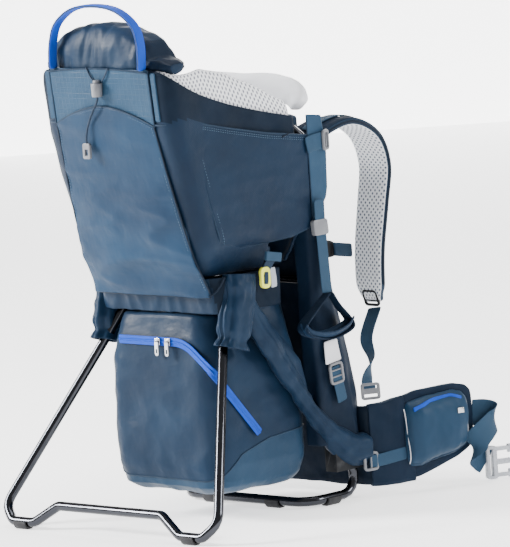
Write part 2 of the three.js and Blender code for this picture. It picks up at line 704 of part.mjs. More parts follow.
/** The outline of a padded piece that stands along the wing, as rings at [along, low, high]. */
function standing(stations, inner, depthAt) {
  return loft(stations.map(([along, low, high], i) => {
    const depth = depthAt[i];
    const outline = [[0, low], [depth * 0.8, low + 6], [depth, low + 18], [depth, high - 14], [depth * 0.8, high - 4], [0, high]];
    return outline.map(([out, z]) => wingAt(along, inner + out, z));
  }));
}

const WING_THICK = 11;

function hipWing() {
  const stations = [[0, 18, 131], [46, 20, 145], [110, 40, 147], [139, 56, 138]];
  return standing(stations, -WING_THICK / 2, stations.map(() => WING_THICK));
}

const POCKET_DEPTH = 20;

function hipPocket() {
  const stations = [[24, 40, 126], [32, 34, 132], [116, 54, 137], [126, 64, 131]];
  return standing(stations, WING_THICK / 2 + GAP, [4, POCKET_DEPTH, POCKET_DEPTH, 5]);
}

/** The slider of a hip pocket's zip, on the pocket's outer face near its top. */
function pocketSlider() {
  const at = wingAt(106, WING_THICK / 2 + 2 * GAP + POCKET_DEPTH + 1.5, 111);
  return place(block(-5, 5, -4, 4, -1.5, 1.5), at, wingWay, Z_AXIS);
}

const LOOSE_LOOP = [
  [194, 265, 100], [199, 273, 101], [206, 279, 97], [209, 278, 86],
  [206, 268, 73], [203, 256, 60], [200, 248, 44], [201, 250, 31], [205, 261, 27],
];
const TIGHT_END = [[-194.5, 264.5, 98], [-197.5, 267.5, 98], [-200.8, 269.6, 98]];
const CURL_WIDTH = vec(0.6, -0.6, 0.5);

/** The free end of the belt: upright at the wing, laid over in the curl, upright at the buckle. */
function looseWebbing() {
  const { smoothstep } = THREE.MathUtils;
  const lean = (t) => smoothstep(t, 0, 0.3) - smoothstep(t, 0.6, 0.85);
  const path = smooth(LOOSE_LOOP.map(([x, y, z]) => vec(x, y, z)), 14);
  return loft(carry(path, strip(38, WEB), (t) => Z_AXIS.clone().lerp(CURL_WIDTH, lean(t))));
}

function tightWebbing() {
  return ribbon(TIGHT_END.map(([x, y, z]) => vec(x, y, z)), 38, Z_AXIS);
}

const BUCKLE_AT = vec(209.5, 278, 26);
const BUCKLE_WAY = vec(0.38, 0.92, 0);

/** The prong half of the side-release buckle: a bar for the webbing, two arms and a guide. */
function buckleProngs() {
  const base = plate(16, 48, 10, 4, [[-1, 0, 5, 39]]);
  const arm = (side) => block(7, 34, side * 19 - 3, side * 19 + 3, -3, 3);
  const tips = [1, -1].map((side) => block(27, 34, side * 18 - 6, side * 18 + 6, -3, 3));
  const shape = join(base, arm(1), arm(-1), block(7, 30, -4, 4, -2.5, 2.5), ...tips);
  return place(shape, BUCKLE_AT, BUCKLE_WAY, Z_AXIS);
}

/** The socket half, a flat housing that is open at its mouth. */
function buckleSocket() {
  const housing = block(-18, 18, -25, 25, -7, 7);
  const mouth = block(-8, 20, -21, 21, -4, 4);
  const slot = block(-15, -11, -20, 20, -8, 8);
  return place(cut(housing, mouth, slot), vec(-206.5, 287.5, 98), vec(-0.3, 0.954, 0), Z_AXIS);
}

function beltLock() {
  return place(plate(28, 24, 4, 4, [[0, 6, 20, 4], [0, -6, 20, 4]]), vec(133, 118, 150), vec(0.6, 1, 0), vec(-0.1, 0, 1));
}

function wearerSide() {
  add("back_panel", backPanel(), NAVY);
  add("lumbar_pad", lumbarPad(), MESH_GREY);
  addPair("shoulder_strap", shoulderStrap(), NAVY);
  addPair("strap_webbing", strapWebbing(), STEEL_BLUE);
  add("sternum_strap", sternumStrap(), STEEL_BLUE);
  add("hip_belt", hipBelt(), NAVY);
  addPair("belt_lock", beltLock(), BUCKLE_GREY);
  addPair("hip_wing", hipWing(), NAVY);
  addPair("hip_pocket", hipPocket(), STEEL_BLUE);
  addPair("pocket_slider", pocketSlider(), STEEL);
  add("belt_webbing_right", looseWebbing(), STEEL_BLUE);
  add("belt_webbing_left", tightWebbing(), STEEL_BLUE);
  add("buckle_prongs", buckleProngs(), BUCKLE_GREY);
  add("buckle_socket", buckleSocket(), BUCKLE_GREY);
}

// ---- stirrups and side entry --------------------------------------------------------------

const stirrupLock = vec(144, 26, 399);
const stirrupFork = vec(152, 24, 306);

/** Strap, fork and foot loop of one stirrup; the strap runs straight through its lock. */
function stirrup() {
  const way = stirrupFork.clone().sub(stirrupLock).normalize();
  const strap = ribbon([stirrupLock.clone().addScaledVector(way, -46), stirrupFork], 20, Y_AXIS);
  const loop = [[24, 306], [-8, 284], [-30, 266], [-22, 252], [16, 242], [54, 248], [66, 258], [44, 284], [28, 306]];
  const path = loop.map(([y, z]) => vec(stirrupFork.x + 1, y, z));
  return join(strap, loft(carry(path, strip(30, 4), X_AXIS)));
}

/** A webbing adjuster on the cabin's side, with a channel for the stirrup strap. */
function stirrupLockBody() {
  const body = plate(28, 22, 7, 4);
  const channel = block(-11, 11, -40, 40, -WEB / 2 - GAP, WEB / 2 + GAP);
  const way = stirrupLock.clone().sub(stirrupFork).normalize();
  return place(cut(body, channel), stirrupLock, Y_AXIS, way);
}

/** The coloured hook that closes the side entry. */
function sideHook() {
  return place(plate(18, 30, 5, 7, [[0, -2, 8, 14]]), vec(WAIST_HALF + 5, -88, 343), Y_AXIS, vec(0, 0.3, 1));
}

function sides() {
  addPair("stirrup", stirrup(), STEEL_BLUE);
  addPair("stirrup_lock", stirrupLockBody(), BUCKLE_GREY);
  add("side_hook", sideHook(), YELLOW);
}

frame();
kickstand();
cabin();
rearPanel();
storage();
wearerSide();
sides();

export default group;
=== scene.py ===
"""Visual model of the framed baby carrier backpack: its soft goods and finishes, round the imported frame.

Places are in millimetres, in the frame's own axes, unless a name says metres.
"""
import functools
import math

import bmesh
import bpy
from mathutils import Matrix, Vector, noise


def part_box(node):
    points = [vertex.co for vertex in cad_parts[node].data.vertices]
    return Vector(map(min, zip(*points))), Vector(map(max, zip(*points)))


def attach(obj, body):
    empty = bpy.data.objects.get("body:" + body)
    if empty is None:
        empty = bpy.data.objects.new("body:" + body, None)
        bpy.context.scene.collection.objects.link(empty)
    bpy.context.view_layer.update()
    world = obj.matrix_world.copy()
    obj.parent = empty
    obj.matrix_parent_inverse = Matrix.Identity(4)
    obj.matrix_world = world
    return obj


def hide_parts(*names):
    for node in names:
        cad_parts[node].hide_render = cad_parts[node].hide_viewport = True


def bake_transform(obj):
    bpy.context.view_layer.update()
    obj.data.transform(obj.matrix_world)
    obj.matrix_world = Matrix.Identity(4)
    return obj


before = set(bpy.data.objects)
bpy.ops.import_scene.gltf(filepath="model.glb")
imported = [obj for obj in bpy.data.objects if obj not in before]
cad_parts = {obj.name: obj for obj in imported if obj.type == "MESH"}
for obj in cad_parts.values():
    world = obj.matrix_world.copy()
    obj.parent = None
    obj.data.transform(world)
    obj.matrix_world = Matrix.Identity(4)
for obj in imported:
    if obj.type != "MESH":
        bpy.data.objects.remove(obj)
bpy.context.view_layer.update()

MM = 0.001
X_AXIS = Vector((1, 0, 0))
Y_AXIS = Vector((0, 1, 0))
Z_AXIS = Vector((0, 0, 1))
SIDES = (("right", 1), ("left", -1))      # names of the two sides, and the sign of x on each


# ---- camera -------------------------------------------------------------------------------

def make_camera():
    """A long lens behind the carrier's right side, rolled a little."""
    azimuth, elevation, roll = math.radians(45), math.radians(7.2), math.radians(4.0)
    target = Vector((0, 0.035, 0.326))
    distance = 9.286
    back = Vector((
        math.sin(azimuth) * math.cos(elevation),
        -math.cos(azimuth) * math.cos(elevation),
        math.sin(elevation),
    ))
    right = Vector((math.cos(azimuth), math.sin(azimuth), 0))
    up = back.cross(right)
    rolled_right = right * math.cos(roll) - up * math.sin(roll)
    rolled_up = right * math.sin(roll) + up * math.cos(roll)
    data = bpy.data.cameras.new("camera")
    data.lens = 427.8
    data.clip_end = 60
    camera = bpy.data.objects.new("camera", data)
    bpy.context.collection.objects.link(camera)
    turn = Matrix((rolled_right, rolled_up, back)).transposed().to_4x4()
    camera.matrix_world = Matrix.Translation(target + back * distance) @ turn
    bpy.context.scene.camera = camera


make_camera()


# ---- materials ----------------------------------------------------------------------------

class Look:
    """A material under construction, with short names for the nodes it uses."""

    def __init__(self, name, color, roughness, metallic=0.0, sheen=0.0, coat=0.0, transmission=0.0,
                 specular=0.5):
        self.material = bpy.data.materials.new(name)
        self.material.use_nodes = True
        self.tree = self.material.node_tree
        self.shader = self.tree.nodes["Principled BSDF"]
        self.place = self.node("ShaderNodeTexCoord")
        self.set(self.shader, "Base Color", (*color, 1))
        self.set(self.shader, "Roughness", roughness)
        self.set(self.shader, "Metallic", metallic)
        self.set(self.shader, "Sheen Weight", sheen)
        self.set(self.shader, "Sheen Roughness", 0.45)
        self.set(self.shader, "Specular IOR Level", specular)
        self.set(self.shader, "Coat Weight", coat)
        self.set(self.shader, "Transmission Weight", transmission)

    def node(self, kind, **settings):
        made = self.tree.nodes.new(kind)
        for key, value in settings.items():
            setattr(made, key, value)
        return made

    @staticmethod
    def set(node, socket, value):
        node.inputs[socket].default_value = value

    def link(self, out, into):
        self.tree.links.new(out, into)

    def stretched(self, source, scale, turn=0.0):
        """Coordinates scaled by (x, y, z), in cells a metre, after a turn about Z."""
        mapping = self.node("ShaderNodeMapping")
        self.set(mapping, "Scale", scale)
        self.set(mapping, "Rotation", (0, 0, turn))
        self.link(self.place.outputs[source], mapping.inputs["Vector"])
        return mapping.outputs["Vector"]

    def noise(self, vector, scale, detail=2.0):
        made = self.node("ShaderNodeTexNoise")
        self.set(made, "Scale", scale)
        self.set(made, "Detail", detail)
        self.link(vector, made.inputs["Vector"])
        return made.outputs["Fac"]

    def wave(self, vector, scale, direction, distortion=0.0):
        made = self.node("ShaderNodeTexWave", bands_direction=direction)
        self.set(made, "Scale", scale)
        self.set(made, "Distortion", distortion)
        self.link(vector, made.inputs["Vector"])
        return made.outputs["Fac"]

    def ramp(self, value, low, high, start, end):
        """Maps value from (low, high) to (start, end)."""
        made = self.node("ShaderNodeMapRange")
        for socket, number in (("From Min", low), ("From Max", high), ("To Min", start), ("To Max", end)):
            self.set(made, socket, number)
        self.link(value, made.inputs["Value"])
        return made.outputs["Result"]

    def calc(self, operation, first, second):
        made = self.node("ShaderNodeMath", operation=operation)
        for index, value in enumerate((first, second)):
            if isinstance(value, (int, float)):
                made.inputs[index].default_value = value
            else:
                self.link(value, made.inputs[index])
        return made.outputs["Value"]

    def paint(self, factor, first, second):
        """Base colour that goes from first to second as factor goes from 0 to 1."""
        made = self.node("ShaderNodeMix", data_type="RGBA")
        self.link(factor, made.inputs["Factor"])
        for socket, color in (("A", first), ("B", second)):
            slot = [s for s in made.inputs if s.name == socket and s.type == "RGBA"][0]
            if isinstance(color, tuple):
                slot.default_value = (*color, 1)
            else:
                self.link(color, slot)
        result = [s for s in made.outputs if s.type == "RGBA"][0]
        self.link(result, self.shader.inputs["Base Color"])
        return result

    def bump(self, height, strength, depth_metres, before=None):
        made = self.node("ShaderNodeBump")
        self.set(made, "Strength", strength)
        self.set(made, "Distance", depth_metres)
        self.link(height, made.inputs["Height"])
        if before:
            self.link(before, made.inputs["Normal"])
        self.link(made.outputs["Normal"], self.shader.inputs["Normal"])
        return made.outputs["Normal"]


def fabric(name, color, deep, roughness=0.62, sheen=0.25, ripstop=0.0):
    """Coated pack cloth: a fine plain weave, slow changes of tone and small creases."""
    look = Look(name, color, roughness, sheen=sheen, specular=0.12)
    here = look.stretched("Object", (1, 1, 1))
    tone = look.ramp(look.noise(here, 11, 3), 0.32, 0.68, 0, 1)
    thread = look.calc("MULTIPLY", look.wave(here, 180, "Z"), look.wave(here, 180, "DIAGONAL"))
    mixed = look.calc("ADD", look.calc("MULTIPLY", tone, 0.8), look.calc("MULTIPLY", thread, 0.2))
    look.paint(mixed, deep, color)
    look.link(look.ramp(look.noise(here, 40, 4), 0.3, 0.7, roughness - 0.1, roughness + 0.1),
              look.shader.inputs["Roughness"])
    creases = look.bump(look.noise(here, 26, 6), 0.55, 0.005)
    weave = look.bump(thread, 0.3, 0.0004, creases)
    if ripstop:
        grid = look.calc("MAXIMUM", look.wave(here, 42, "Z"), look.wave(here, 42, "X"))
        look.bump(look.ramp(grid, 0.9, 1.0, 0, 1), ripstop, 0.0006, weave)
    return look.material


def webbing(name, color, deep):
    """Narrow woven tape: ribs along it and a fine pick across it."""
    look = Look(name, color, 0.6, sheen=0.03, specular=0.15)
    along = look.stretched("UV", (1, 1, 1))
    ribs = look.wave(along, 190, "X")
    picks = look.wave(along, 330, "Y")
    weave = look.calc("ADD", look.calc("MULTIPLY", ribs, 0.6), look.calc("MULTIPLY", picks, 0.4))
    tone = look.noise(look.stretched("Object", (1, 1, 1)), 30, 3)
    shade = look.calc("ADD", look.calc("MULTIPLY", weave, 0.45), look.calc("MULTIPLY", tone, 0.5))
    look.paint(shade, deep, color)
    look.bump(weave, 0.6, 0.0006)
    return look.material


def air_mesh(name, color, hole, pitch=0.0046, size=0.30):
    """Spacer mesh: rows of small dark holes, set off by half a hole, in a soft pale knit."""
    look = Look(name, color, 0.85, sheen=0.2, specular=0.2)
    cells = look.stretched("UV", (1 / pitch, 1 / pitch, 1), math.radians(45))
    dots = look.node("ShaderNodeTexVoronoi", voronoi_dimensions="2D")
    look.set(dots, "Scale", 1.0)
    look.set(dots, "Randomness", 0.0)
    look.link(cells, dots.inputs["Vector"])
    solid = look.ramp(dots.outputs["Distance"], size - 0.06, size + 0.06, 0, 1)
    look.paint(solid, hole, color)
    rough = look.noise(look.stretched("Object", (1, 1, 1)), 700, 2)
    look.bump(look.calc("ADD", solid, look.calc("MULTIPLY", rough, 0.25)), 0.8, 0.0012)
    return look.material


def moulded(name, color, roughness, transmission=0.0, specular=0.4):
    """Injection-moulded plastic with a faint spark-eroded grain and lighter rubbed patches here and there."""
    look = Look(name, color, roughness, transmission=transmission, specular=specular)
    here = look.stretched("Object", (1, 1, 1))
    worn = tuple(min(1, c * 1.25 + 0.02) for c in color)
    look.paint(look.ramp(look.noise(here, 60, 4), 0.55, 0.8, 0, 1), color, worn)
    look.link(look.ramp(look.noise(here, 160, 3), 0.3, 0.7, roughness - 0.07, roughness + 0.09),
              look.shader.inputs["Roughness"])
    look.bump(look.noise(here, 1800, 2), 0.25, 0.0002)
    return look.material


def metal(name, color, roughness, grain):
    """Drawn or cast metal with fine streaks along Z and slow changes of gloss."""
    look = Look(name, color, roughness, metallic=1.0)
    streaks = look.noise(look.stretched("Object", (900, 900, 30)), 1, 3)
    patches = look.noise(look.stretched("Object", (1, 1, 1)), 25, 3)
    look.link(look.ramp(patches, 0.3, 0.7, roughness * 0.8, roughness * 1.3), look.shader.inputs["Roughness"])
    look.paint(look.ramp(patches, 0.4, 0.75, 0, 1), color, tuple(c * 0.82 for c in color))
    look.bump(streaks, grain, 0.0001)
    return look.material


STEEL_CLOTH = fabric("steel_blue_cloth", (0.0060, 0.023, 0.052), (0.003, 0.013, 0.032), 0.46, 0.02)
# Partly painted light: the stretch pocket's own ripstop blue, made lighter than the steel-blue cloth because
# the rear faces the key lamp.
LIT_POCKET_CLOTH = fabric("pocket_cloth", (0.0105, 0.038, 0.082), (0.005, 0.021, 0.050), 0.44, 0.02, ripstop=0.15)
PALE_CLOTH = fabric("pale_steel_cloth", (0.013, 0.041, 0.081), (0.008, 0.027, 0.056), 0.42, 0.03)
# Partly painted light: the ripstop's own blue, made lighter still for the lit rear panel, and used on the
# side flaps as a painted highlight.
LIT_RIPSTOP_CLOTH = fabric("lit_ripstop_cloth", (0.020, 0.056, 0.104), (0.013, 0.040, 0.078), 0.46, 0.03, ripstop=0.4)
# Painted shade: a darker copy of the steel-blue cloth for the cabin's walls and side panels, darkened for the
# side that faces away from the key lamp.
SHADED_SIDE_CLOTH = fabric("shaded_side_cloth", (0.0045, 0.018, 0.042), (0.0025, 0.010, 0.026), 0.42, 0.02)
NAVY_CLOTH = fabric("navy_cloth", (0.0036, 0.014, 0.034), (0.002, 0.008, 0.020), 0.6, 0.01)
DEEP_CLOTH = fabric("deep_navy_cloth", (0.003, 0.010, 0.024), (0.0015, 0.006, 0.014), 0.65, 0.0)
BINDING = webbing("navy_binding", (0.014, 0.034, 0.065), (0.006, 0.016, 0.034))
DEEP_BINDING = webbing("deep_binding", (0.005, 0.013, 0.028), (0.002, 0.006, 0.014))
STEEL_TAPE = webbing("steel_blue_webbing", (0.024, 0.062, 0.110), (0.012, 0.036, 0.070))
BLUE_TAPE = webbing("bright_blue_tape", (0.006, 0.075, 0.520), (0.003, 0.040, 0.330))
PALE_MESH = air_mesh("pale_mesh", (0.84, 0.85, 0.88), (0.16, 0.17, 0.22), 0.0056, 0.28)
STRAP_MESH = air_mesh("strap_mesh", (0.78, 0.79, 0.82), (0.10, 0.12, 0.17), 0.0062, 0.27)
SOFT_PALE = fabric("pale_brushed_cloth", (0.76, 0.77, 0.80), (0.62, 0.63, 0.67), 0.8, 0.5)
CORD = webbing("cord_sheath", (0.030, 0.050, 0.085), (0.010, 0.018, 0.035))
TUBE_METAL = metal("anodised_gunmetal", (0.045, 0.047, 0.054), 0.17, 0.1)
STEEL_METAL = metal("bright_steel", (0.50, 0.51, 0.53), 0.2, 0.1)
GREY_PLASTIC = moulded("grey_plastic_look", (0.15, 0.155, 0.17), 0.35)
CLEAR_PLASTIC = moulded("frosted_plastic", (0.42, 0.44, 0.48), 0.3, 0.15)
BLACK_PLASTIC = moulded("black_plastic_look", (0.007, 0.008, 0.010), 0.5, specular=0.15)
BLACK_RUBBER = moulded("black_rubber_look", (0.014, 0.014, 0.016), 0.7)
YELLOW_PLASTIC = moulded("yellow_plastic_look", (0.72, 0.74, 0.07), 0.35)
STITCH = moulded("thread", (0.06, 0.11, 0.17), 0.6)


# ---- paths and sections -------------------------------------------------------------------

def clamp(value, low=0.0, high=1.0):
    return max(low, min(high, value))


def mix(start, end, share):
    return start + (end - start) * share


def smoothstep(value, start, end):
    share = clamp((value - start) / (end - start))
    return share * share * (3 - 2 * share)


def along_table(table, value):
    """Linear interpolation in rows of (key, number, ...)."""
    if value <= table[0][0]:
        return table[0][1:]
    for low, high in zip(table, table[1:]):
        if value <= high[0]:
            share = (value - low[0]) / (high[0] - low[0])
            return tuple(mix(a, b, share) for a, b in zip(low[1:], high[1:]))
    return table[-1][1:]


def vectors(points):
    return [Vector(p) for p in points]


def on_side(mark, points):
    """Points of the right side, put on the side with this sign of x."""
    return [Vector((mark * x, y, z)) for x, y, z in points]


def near(middle, steps):
    return [middle + Vector(step) for step in steps]


def flipped(points):
    return [Vector((-p[0], p[1], p[2])) for p in points]


def resampled(points, count, closed=False):
    """count points spaced evenly along a polyline."""
    line = points + points[:1] if closed else points
    lengths = [0.0]
    for a, b in zip(line, line[1:]):
        lengths.append(lengths[-1] + (b - a).length)
    steps = count if closed else count - 1
    result, segment = [], 0
    for i in range(count):
        wanted = lengths[-1] * i / steps
        while segment < len(line) - 2 and lengths[segment + 1] < wanted:
            segment += 1
        span = max(lengths[segment + 1] - lengths[segment], 1e-9)
        result.append(line[segment].lerp(line[segment + 1], (wanted - lengths[segment]) / span))
    return result


def spline(points, count):
    """A smooth curve through points, as count even steps."""
    points = vectors(points)
    ends = [points[0] * 2 - points[1], *points, points[-1] * 2 - points[-2]]
    fine = []
    for a, b, c, d in zip(ends, ends[1:], ends[2:], ends[3:]):
        for step in range(12):
            t = step / 12
            fine.append(0.5 * (b * 2 + (c - a) * t + (a * 2 - b * 5 + c * 4 - d) * t * t
                               + (b * 3 - a - c * 3 + d) * t * t * t))
    return resampled([*fine, points[-1]], count)


def rounded(corners, radii, steps=6):
    """A polyline whose inner corners are arcs of the given radii."""
    corners = vectors(corners)
    if not isinstance(radii, (list, tuple)):
        radii = [radii] * (len(corners) - 2)
    line = [corners[0]]
    for before, corner, after, radius in zip(corners, corners[1:], corners[2:], radii):
        into, out = (corner - before).normalized(), (after - corner).normalized()
        half_turn = into.angle(out) / 2
        reach = radius * math.tan(half_turn)
        middle = (out - into).normalized() * (radius / math.cos(half_turn)) + corner
        start = corner - into * reach - middle
        axis = into.cross(out).normalized()
        for step in range(steps + 1):
            turn = Matrix.Rotation(2 * half_turn * step / steps, 3, axis)
            line.append(middle + turn @ start)
    line.append(corners[-1])
    return line


def oval(width, thick, square=0.35, count=20):
    """A closed section, from a round one at square 1 to nearly a rectangle at square 0."""
    section = []
    for i in range(count):
        angle = 2 * math.pi * (i + 0.5) / count
        c, s = math.cos(angle), math.sin(angle)
        section.append((math.copysign(abs(c) ** square, c) * width / 2,
                        math.copysign(abs(s) ** square, s) * thick / 2))
    return section


def carried(path, section, across):
    """Rows of points: section(t), as (across, normal) pairs, carried along a path."""
    rows = []
    last = len(path) - 1
    for i, point in enumerate(path):
        t = i / last
        way = (path[min(i + 1, last)] - path[max(i - 1, 0)]).normalized()
        side = across(t) if callable(across) else across
        side = (side - way * side.dot(way)).normalized()
        normal = way.cross(side)
        rows.append([point + side * a + normal * b for a, b in section(t)])
    return rows


def turned(section, angle):
    c, s = math.cos(angle), math.sin(angle)
    return [(a * c - b * s, a * s + b * c) for a, b in section]


def plan_ring(half, rear, front, corner, count):
    """A rounded rectangle in plan, as count (x, y) pairs from the front's middle round the right side."""
    middle = (0, front, 0)
    corners = [(half, front, 0), (half, rear, 0), (-half, rear, 0), (-half, front, 0)]
    line = rounded([middle, *corners, middle], corner, 7)
    return [(p.x, p.y) for p in resampled(line[:-1], count, closed=True)]


# ---- pieces -------------------------------------------------------------------------------

def surface(name, body, looks, rows, wrap=False, caps=False, kind=None, keep=None,
            thick=0.0, level=1, hides=()):
    """A piece from rows of points. wrap joins each row's ends, and caps fills the first and last rows."""
    count = len(rows[0])
    points = [p * MM for row in rows for p in row]
    mesh = bmesh.new()
    uv_layer = mesh.loops.layers.uv.new("UVMap")
    made = [mesh.verts.new(p) for p in points]
    middle_row, middle = rows[len(rows) // 2], count // 2
    ring = [0.0]
    for a, b in zip(middle_row, middle_row[1:] + middle_row[:1]):
        ring.append(ring[-1] + (b - a).length * MM)
    travel = [0.0]
    for a, b in zip(rows, rows[1:]):
        travel.append(travel[-1] + (b[middle] - a[middle]).length * MM)
    for r in range(len(rows) - 1):
        for c in range(count if wrap else count - 1):
            d = (c + 1) % count
            corners = [(r, c, c), (r, d, c + 1), (r + 1, d, c + 1), (r + 1, c, c)]
            if keep and not keep(sum((rows[i][j] for i, j, _ in corners), Vector()) / 4):
                continue
            face = mesh.faces.new([made[i * count + j] for i, j, _ in corners])
            face.smooth = True
            face.material_index = kind(r, c, rows[r][c]) if kind else 0
            for loop, (i, _, k) in zip(face.loops, corners):
                loop[uv_layer].uv = (ring[k], travel[i])
    if caps:
        for start in (0, (len(rows) - 1) * count):
            fan = mesh.verts.new(sum((made[start + c].co for c in range(count)), Vector()) / count)
            for c in range(count):
                face = mesh.faces.new([fan, made[start + c], made[start + (c + 1) % count]])
                face.smooth = True
                face.material_index = kind(0 if start == 0 else len(rows) - 1, c, rows[0][c]) if kind else 0
    loose = [v for v in mesh.verts if not v.link_faces]
    bmesh.ops.delete(mesh, geom=loose, context="VERTS")
    bmesh.ops.recalc_face_normals(mesh, faces=mesh.faces)
    data = bpy.data.meshes.new(name)
    mesh.to_mesh(data)
    mesh.free()
    return finished(name, data, body, looks, thick, level, hides)


def finished(name, data, body, looks, thick=0.0, level=0, hides=()):
    """Puts a mesh in the scene with its looks, thickness and smoothness, riding on its body."""
    for look in looks if isinstance(looks, (list, tuple)) else [looks]:
        data.materials.append(look)
    piece = bpy.data.objects.new(name, data)
    bpy.context.collection.objects.link(piece)
    if thick:
        solid = piece.modifiers.new("thickness", "SOLIDIFY")
        solid.thickness = thick * MM
        solid.offset = 0
    if level:
        smooth = piece.modifiers.new("smooth", "SUBSURF")
        smooth.levels = smooth.render_levels = level
    if body:
        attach(piece, body)
    if hides:
        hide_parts(*hides)
    return piece


def crumple(piece, folds, seed=0, keep_still=None):
    """Moves a piece's points along their normals by noise: folds is rows of (depth, size, stretch, sharp)."""
    data = piece.data
    normals = [Vector(n.vector) for n in data.vertex_normals]
    for vertex, normal in zip(data.vertices, normals):
        here = vertex.co / MM
        move = 0.0
        for index, (depth, size, stretch, sharp) in enumerate(folds):
            offset = Vector((seed * 7.3 + index * 3.1, 0, 0))
            spot = Vector(h / (size * s) for h, s in zip(here, stretch)) + offset
            value = noise.noise(spot)
            if sharp:
                value = 1 - 3.2 * abs(value)
            move += depth * value
        if keep_still:
            move *= keep_still(here)
        vertex.co += normal * move * MM


def inflated(piece, voxel, cap, pressure=4.0):
    """Blows a closed pad up as cloth, and lets no point move further than cap."""
    scene = bpy.context.scene
    remesh = piece.modifiers.new("remesh", "REMESH")
    remesh.mode = "VOXEL"
    remesh.voxel_size = voxel * MM
    remesh.use_smooth_shade = True
    bake(piece)
    start = [v.co.copy() for v in piece.data.vertices]
    cloth = piece.modifiers.new("cloth", "CLOTH")
    cloth.settings.quality = 4
    cloth.settings.use_pressure = True
    cloth.settings.uniform_pressure_force = pressure
    cloth.settings.effector_weights.gravity = 0
    for step in range(1, 21):
        scene.frame_set(step)
    bake(piece)
    scene.frame_set(1)
    for vertex, origin in zip(piece.data.vertices, start):
        move = vertex.co - origin
        if move.length > cap * MM:
            vertex.co = origin + move.normalized() * cap * MM
    smooth = piece.modifiers.new("smooth", "SUBSURF")
    smooth.levels = smooth.render_levels = 1


def bake(piece):
    """Applies every modifier of a piece to its mesh."""
    graph = bpy.context.evaluated_depsgraph_get()
    graph.update()
    shape = bpy.data.meshes.new_from_object(piece.evaluated_get(graph))
    old = piece.data
    piece.modifiers.clear()
    piece.data = shape
    bpy.data.meshes.remove(old)
    piece.data.name = piece.name


def strap(name, body, look, path, width, thick, across, hides=(), twist=None, square=0.3, kind=None):
    """A flat strap along a path."""
    base = oval(width, thick, square, 16)
    section = (lambda t: turned(base, twist(t))) if twist else (lambda t: base)
    rows = carried(path, section, across)
    return surface(name, body, look, rows, wrap=True, caps=True, hides=hides, kind=kind)


def piping(name, body, look, path, radius=1.1, closed=False):
    """A round cord sewn into a seam."""
    way = (path[1] - path[0]).normalized()
    across = X_AXIS if abs(way.x) < 0.8 else Z_AXIS
    section = oval(2 * radius, 2 * radius, 1, 8)
    rows = carried(path, lambda t: section, across)
    return surface(name, body, look, rows, wrap=True, caps=not closed, level=1)


def stitches(name, body, lines, outward, look=None, pitch=4.2, width=0.7, lift=0.25):
    """Dashes of thread along lines of points; outward(point) says which way the cloth faces."""
    data = bmesh.new()
    for line in lines:
        length = sum((b - a).length for a, b in zip(line, line[1:]))
        places = resampled(line, max(2, int(length / pitch) * 2))
        for a, b in zip(places[::2], places[1::2]):
            out = outward(a).normalized()
            side = (b - a).normalized().cross(out) * width / 2
            low = [a + side, a - side, b - side, b + side]
            high = [p.lerp((a + b) / 2, 0.25) + out * (lift + 0.5) for p in low]
            ring = [data.verts.new((p + out * (lift - 0.6)) * MM) for p in low]
            top = [data.verts.new(p * MM) for p in high]
            data.faces.new(top)
            for i in range(4):
                data.faces.new([ring[i], ring[(i + 1) % 4], top[(i + 1) % 4], top[i]])
            data.faces.new(ring[::-1])
    bmesh.ops.recalc_face_normals(data, faces=data.faces)
    mesh = bpy.data.meshes.new(name)
    data.to_mesh(mesh)
    data.free()
    return finished(name, mesh, body, look or STITCH)


# ---- drawcord: the free cord, its lock and its tab -----------------------------------------

TAIL_ROUTE_METRES = [
    (0.002, -0.2526, 0.6139), (0.0015, -0.2526, 0.610), (-0.001, -0.2526, 0.605), (-0.005, -0.2523, 0.600),
    (-0.009, -0.2518, 0.595), (-0.013, -0.251, 0.590), (-0.017, -0.2505, 0.585), (-0.020, -0.250, 0.580),
    (-0.023, -0.2495, 0.575), (-0.026, -0.249, 0.570), (-0.028, -0.2485, 0.565), (-0.030, -0.248, 0.560),
    (-0.031, -0.2475, 0.556), (-0.032, -0.247, 0.552), (-0.032, -0.247, 0.548),
]
TAIL_DIAMETER_METRES = 0.003


def drawcord_tail():
    """The cord's tail, from its lock down to the pull tab."""
    curve = bpy.data.curves.new("drawcord_tail_rope", "CURVE")
    curve.dimensions = "3D"
    curve.bevel_depth = TAIL_DIAMETER_METRES / 2
    curve.bevel_resolution = 4
    curve.use_fill_caps = True
    line = curve.splines.new("POLY")
    line.points.add(len(TAIL_ROUTE_METRES) - 1)
    for point, place in zip(line.points, TAIL_ROUTE_METRES):
        point.co = (*place, 1)
    curve.materials.append(CORD)
    rope = bpy.data.objects.new("drawcord_tail_rope", curve)
    bpy.context.collection.objects.link(rope)
    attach(rope, "carrier")
    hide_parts("drawcord_tail")
    route = vectors(TAIL_ROUTE_METRES)


drawcord_tail()


# ---- the cabin ----------------------------------------------------------------------------

# The rear face's profile, as (height, y).
REAR_FACE = [(300, -160), (333, -167), (380, -188), (434, -203), (510, -222), (573, -236), (654, -243),
             (712, -228)]
CABIN_FLOOR = 352
CABIN_FRONT = 16
CABIN_TOP = 662
FLARE = 5
WALL = 5
HALF_WIDTHS = [(352, 104, 10), (394, 124, 16), (470, 128, 16), (712, 128, 16)]


def rear_at(z):
    """y of the rear panel at a height."""
    return along_table(REAR_FACE, z)[0]


def rim_height(y):
    """Height of the cabin's rim, which falls toward the wearer."""
    return mix(668, 556, math.sqrt(max(y + 245, 0)) / math.sqrt(265))


def flare_at(y):
    return FLARE * mix(-1, 1, (y + 240) / (CABIN_FRONT + 240))


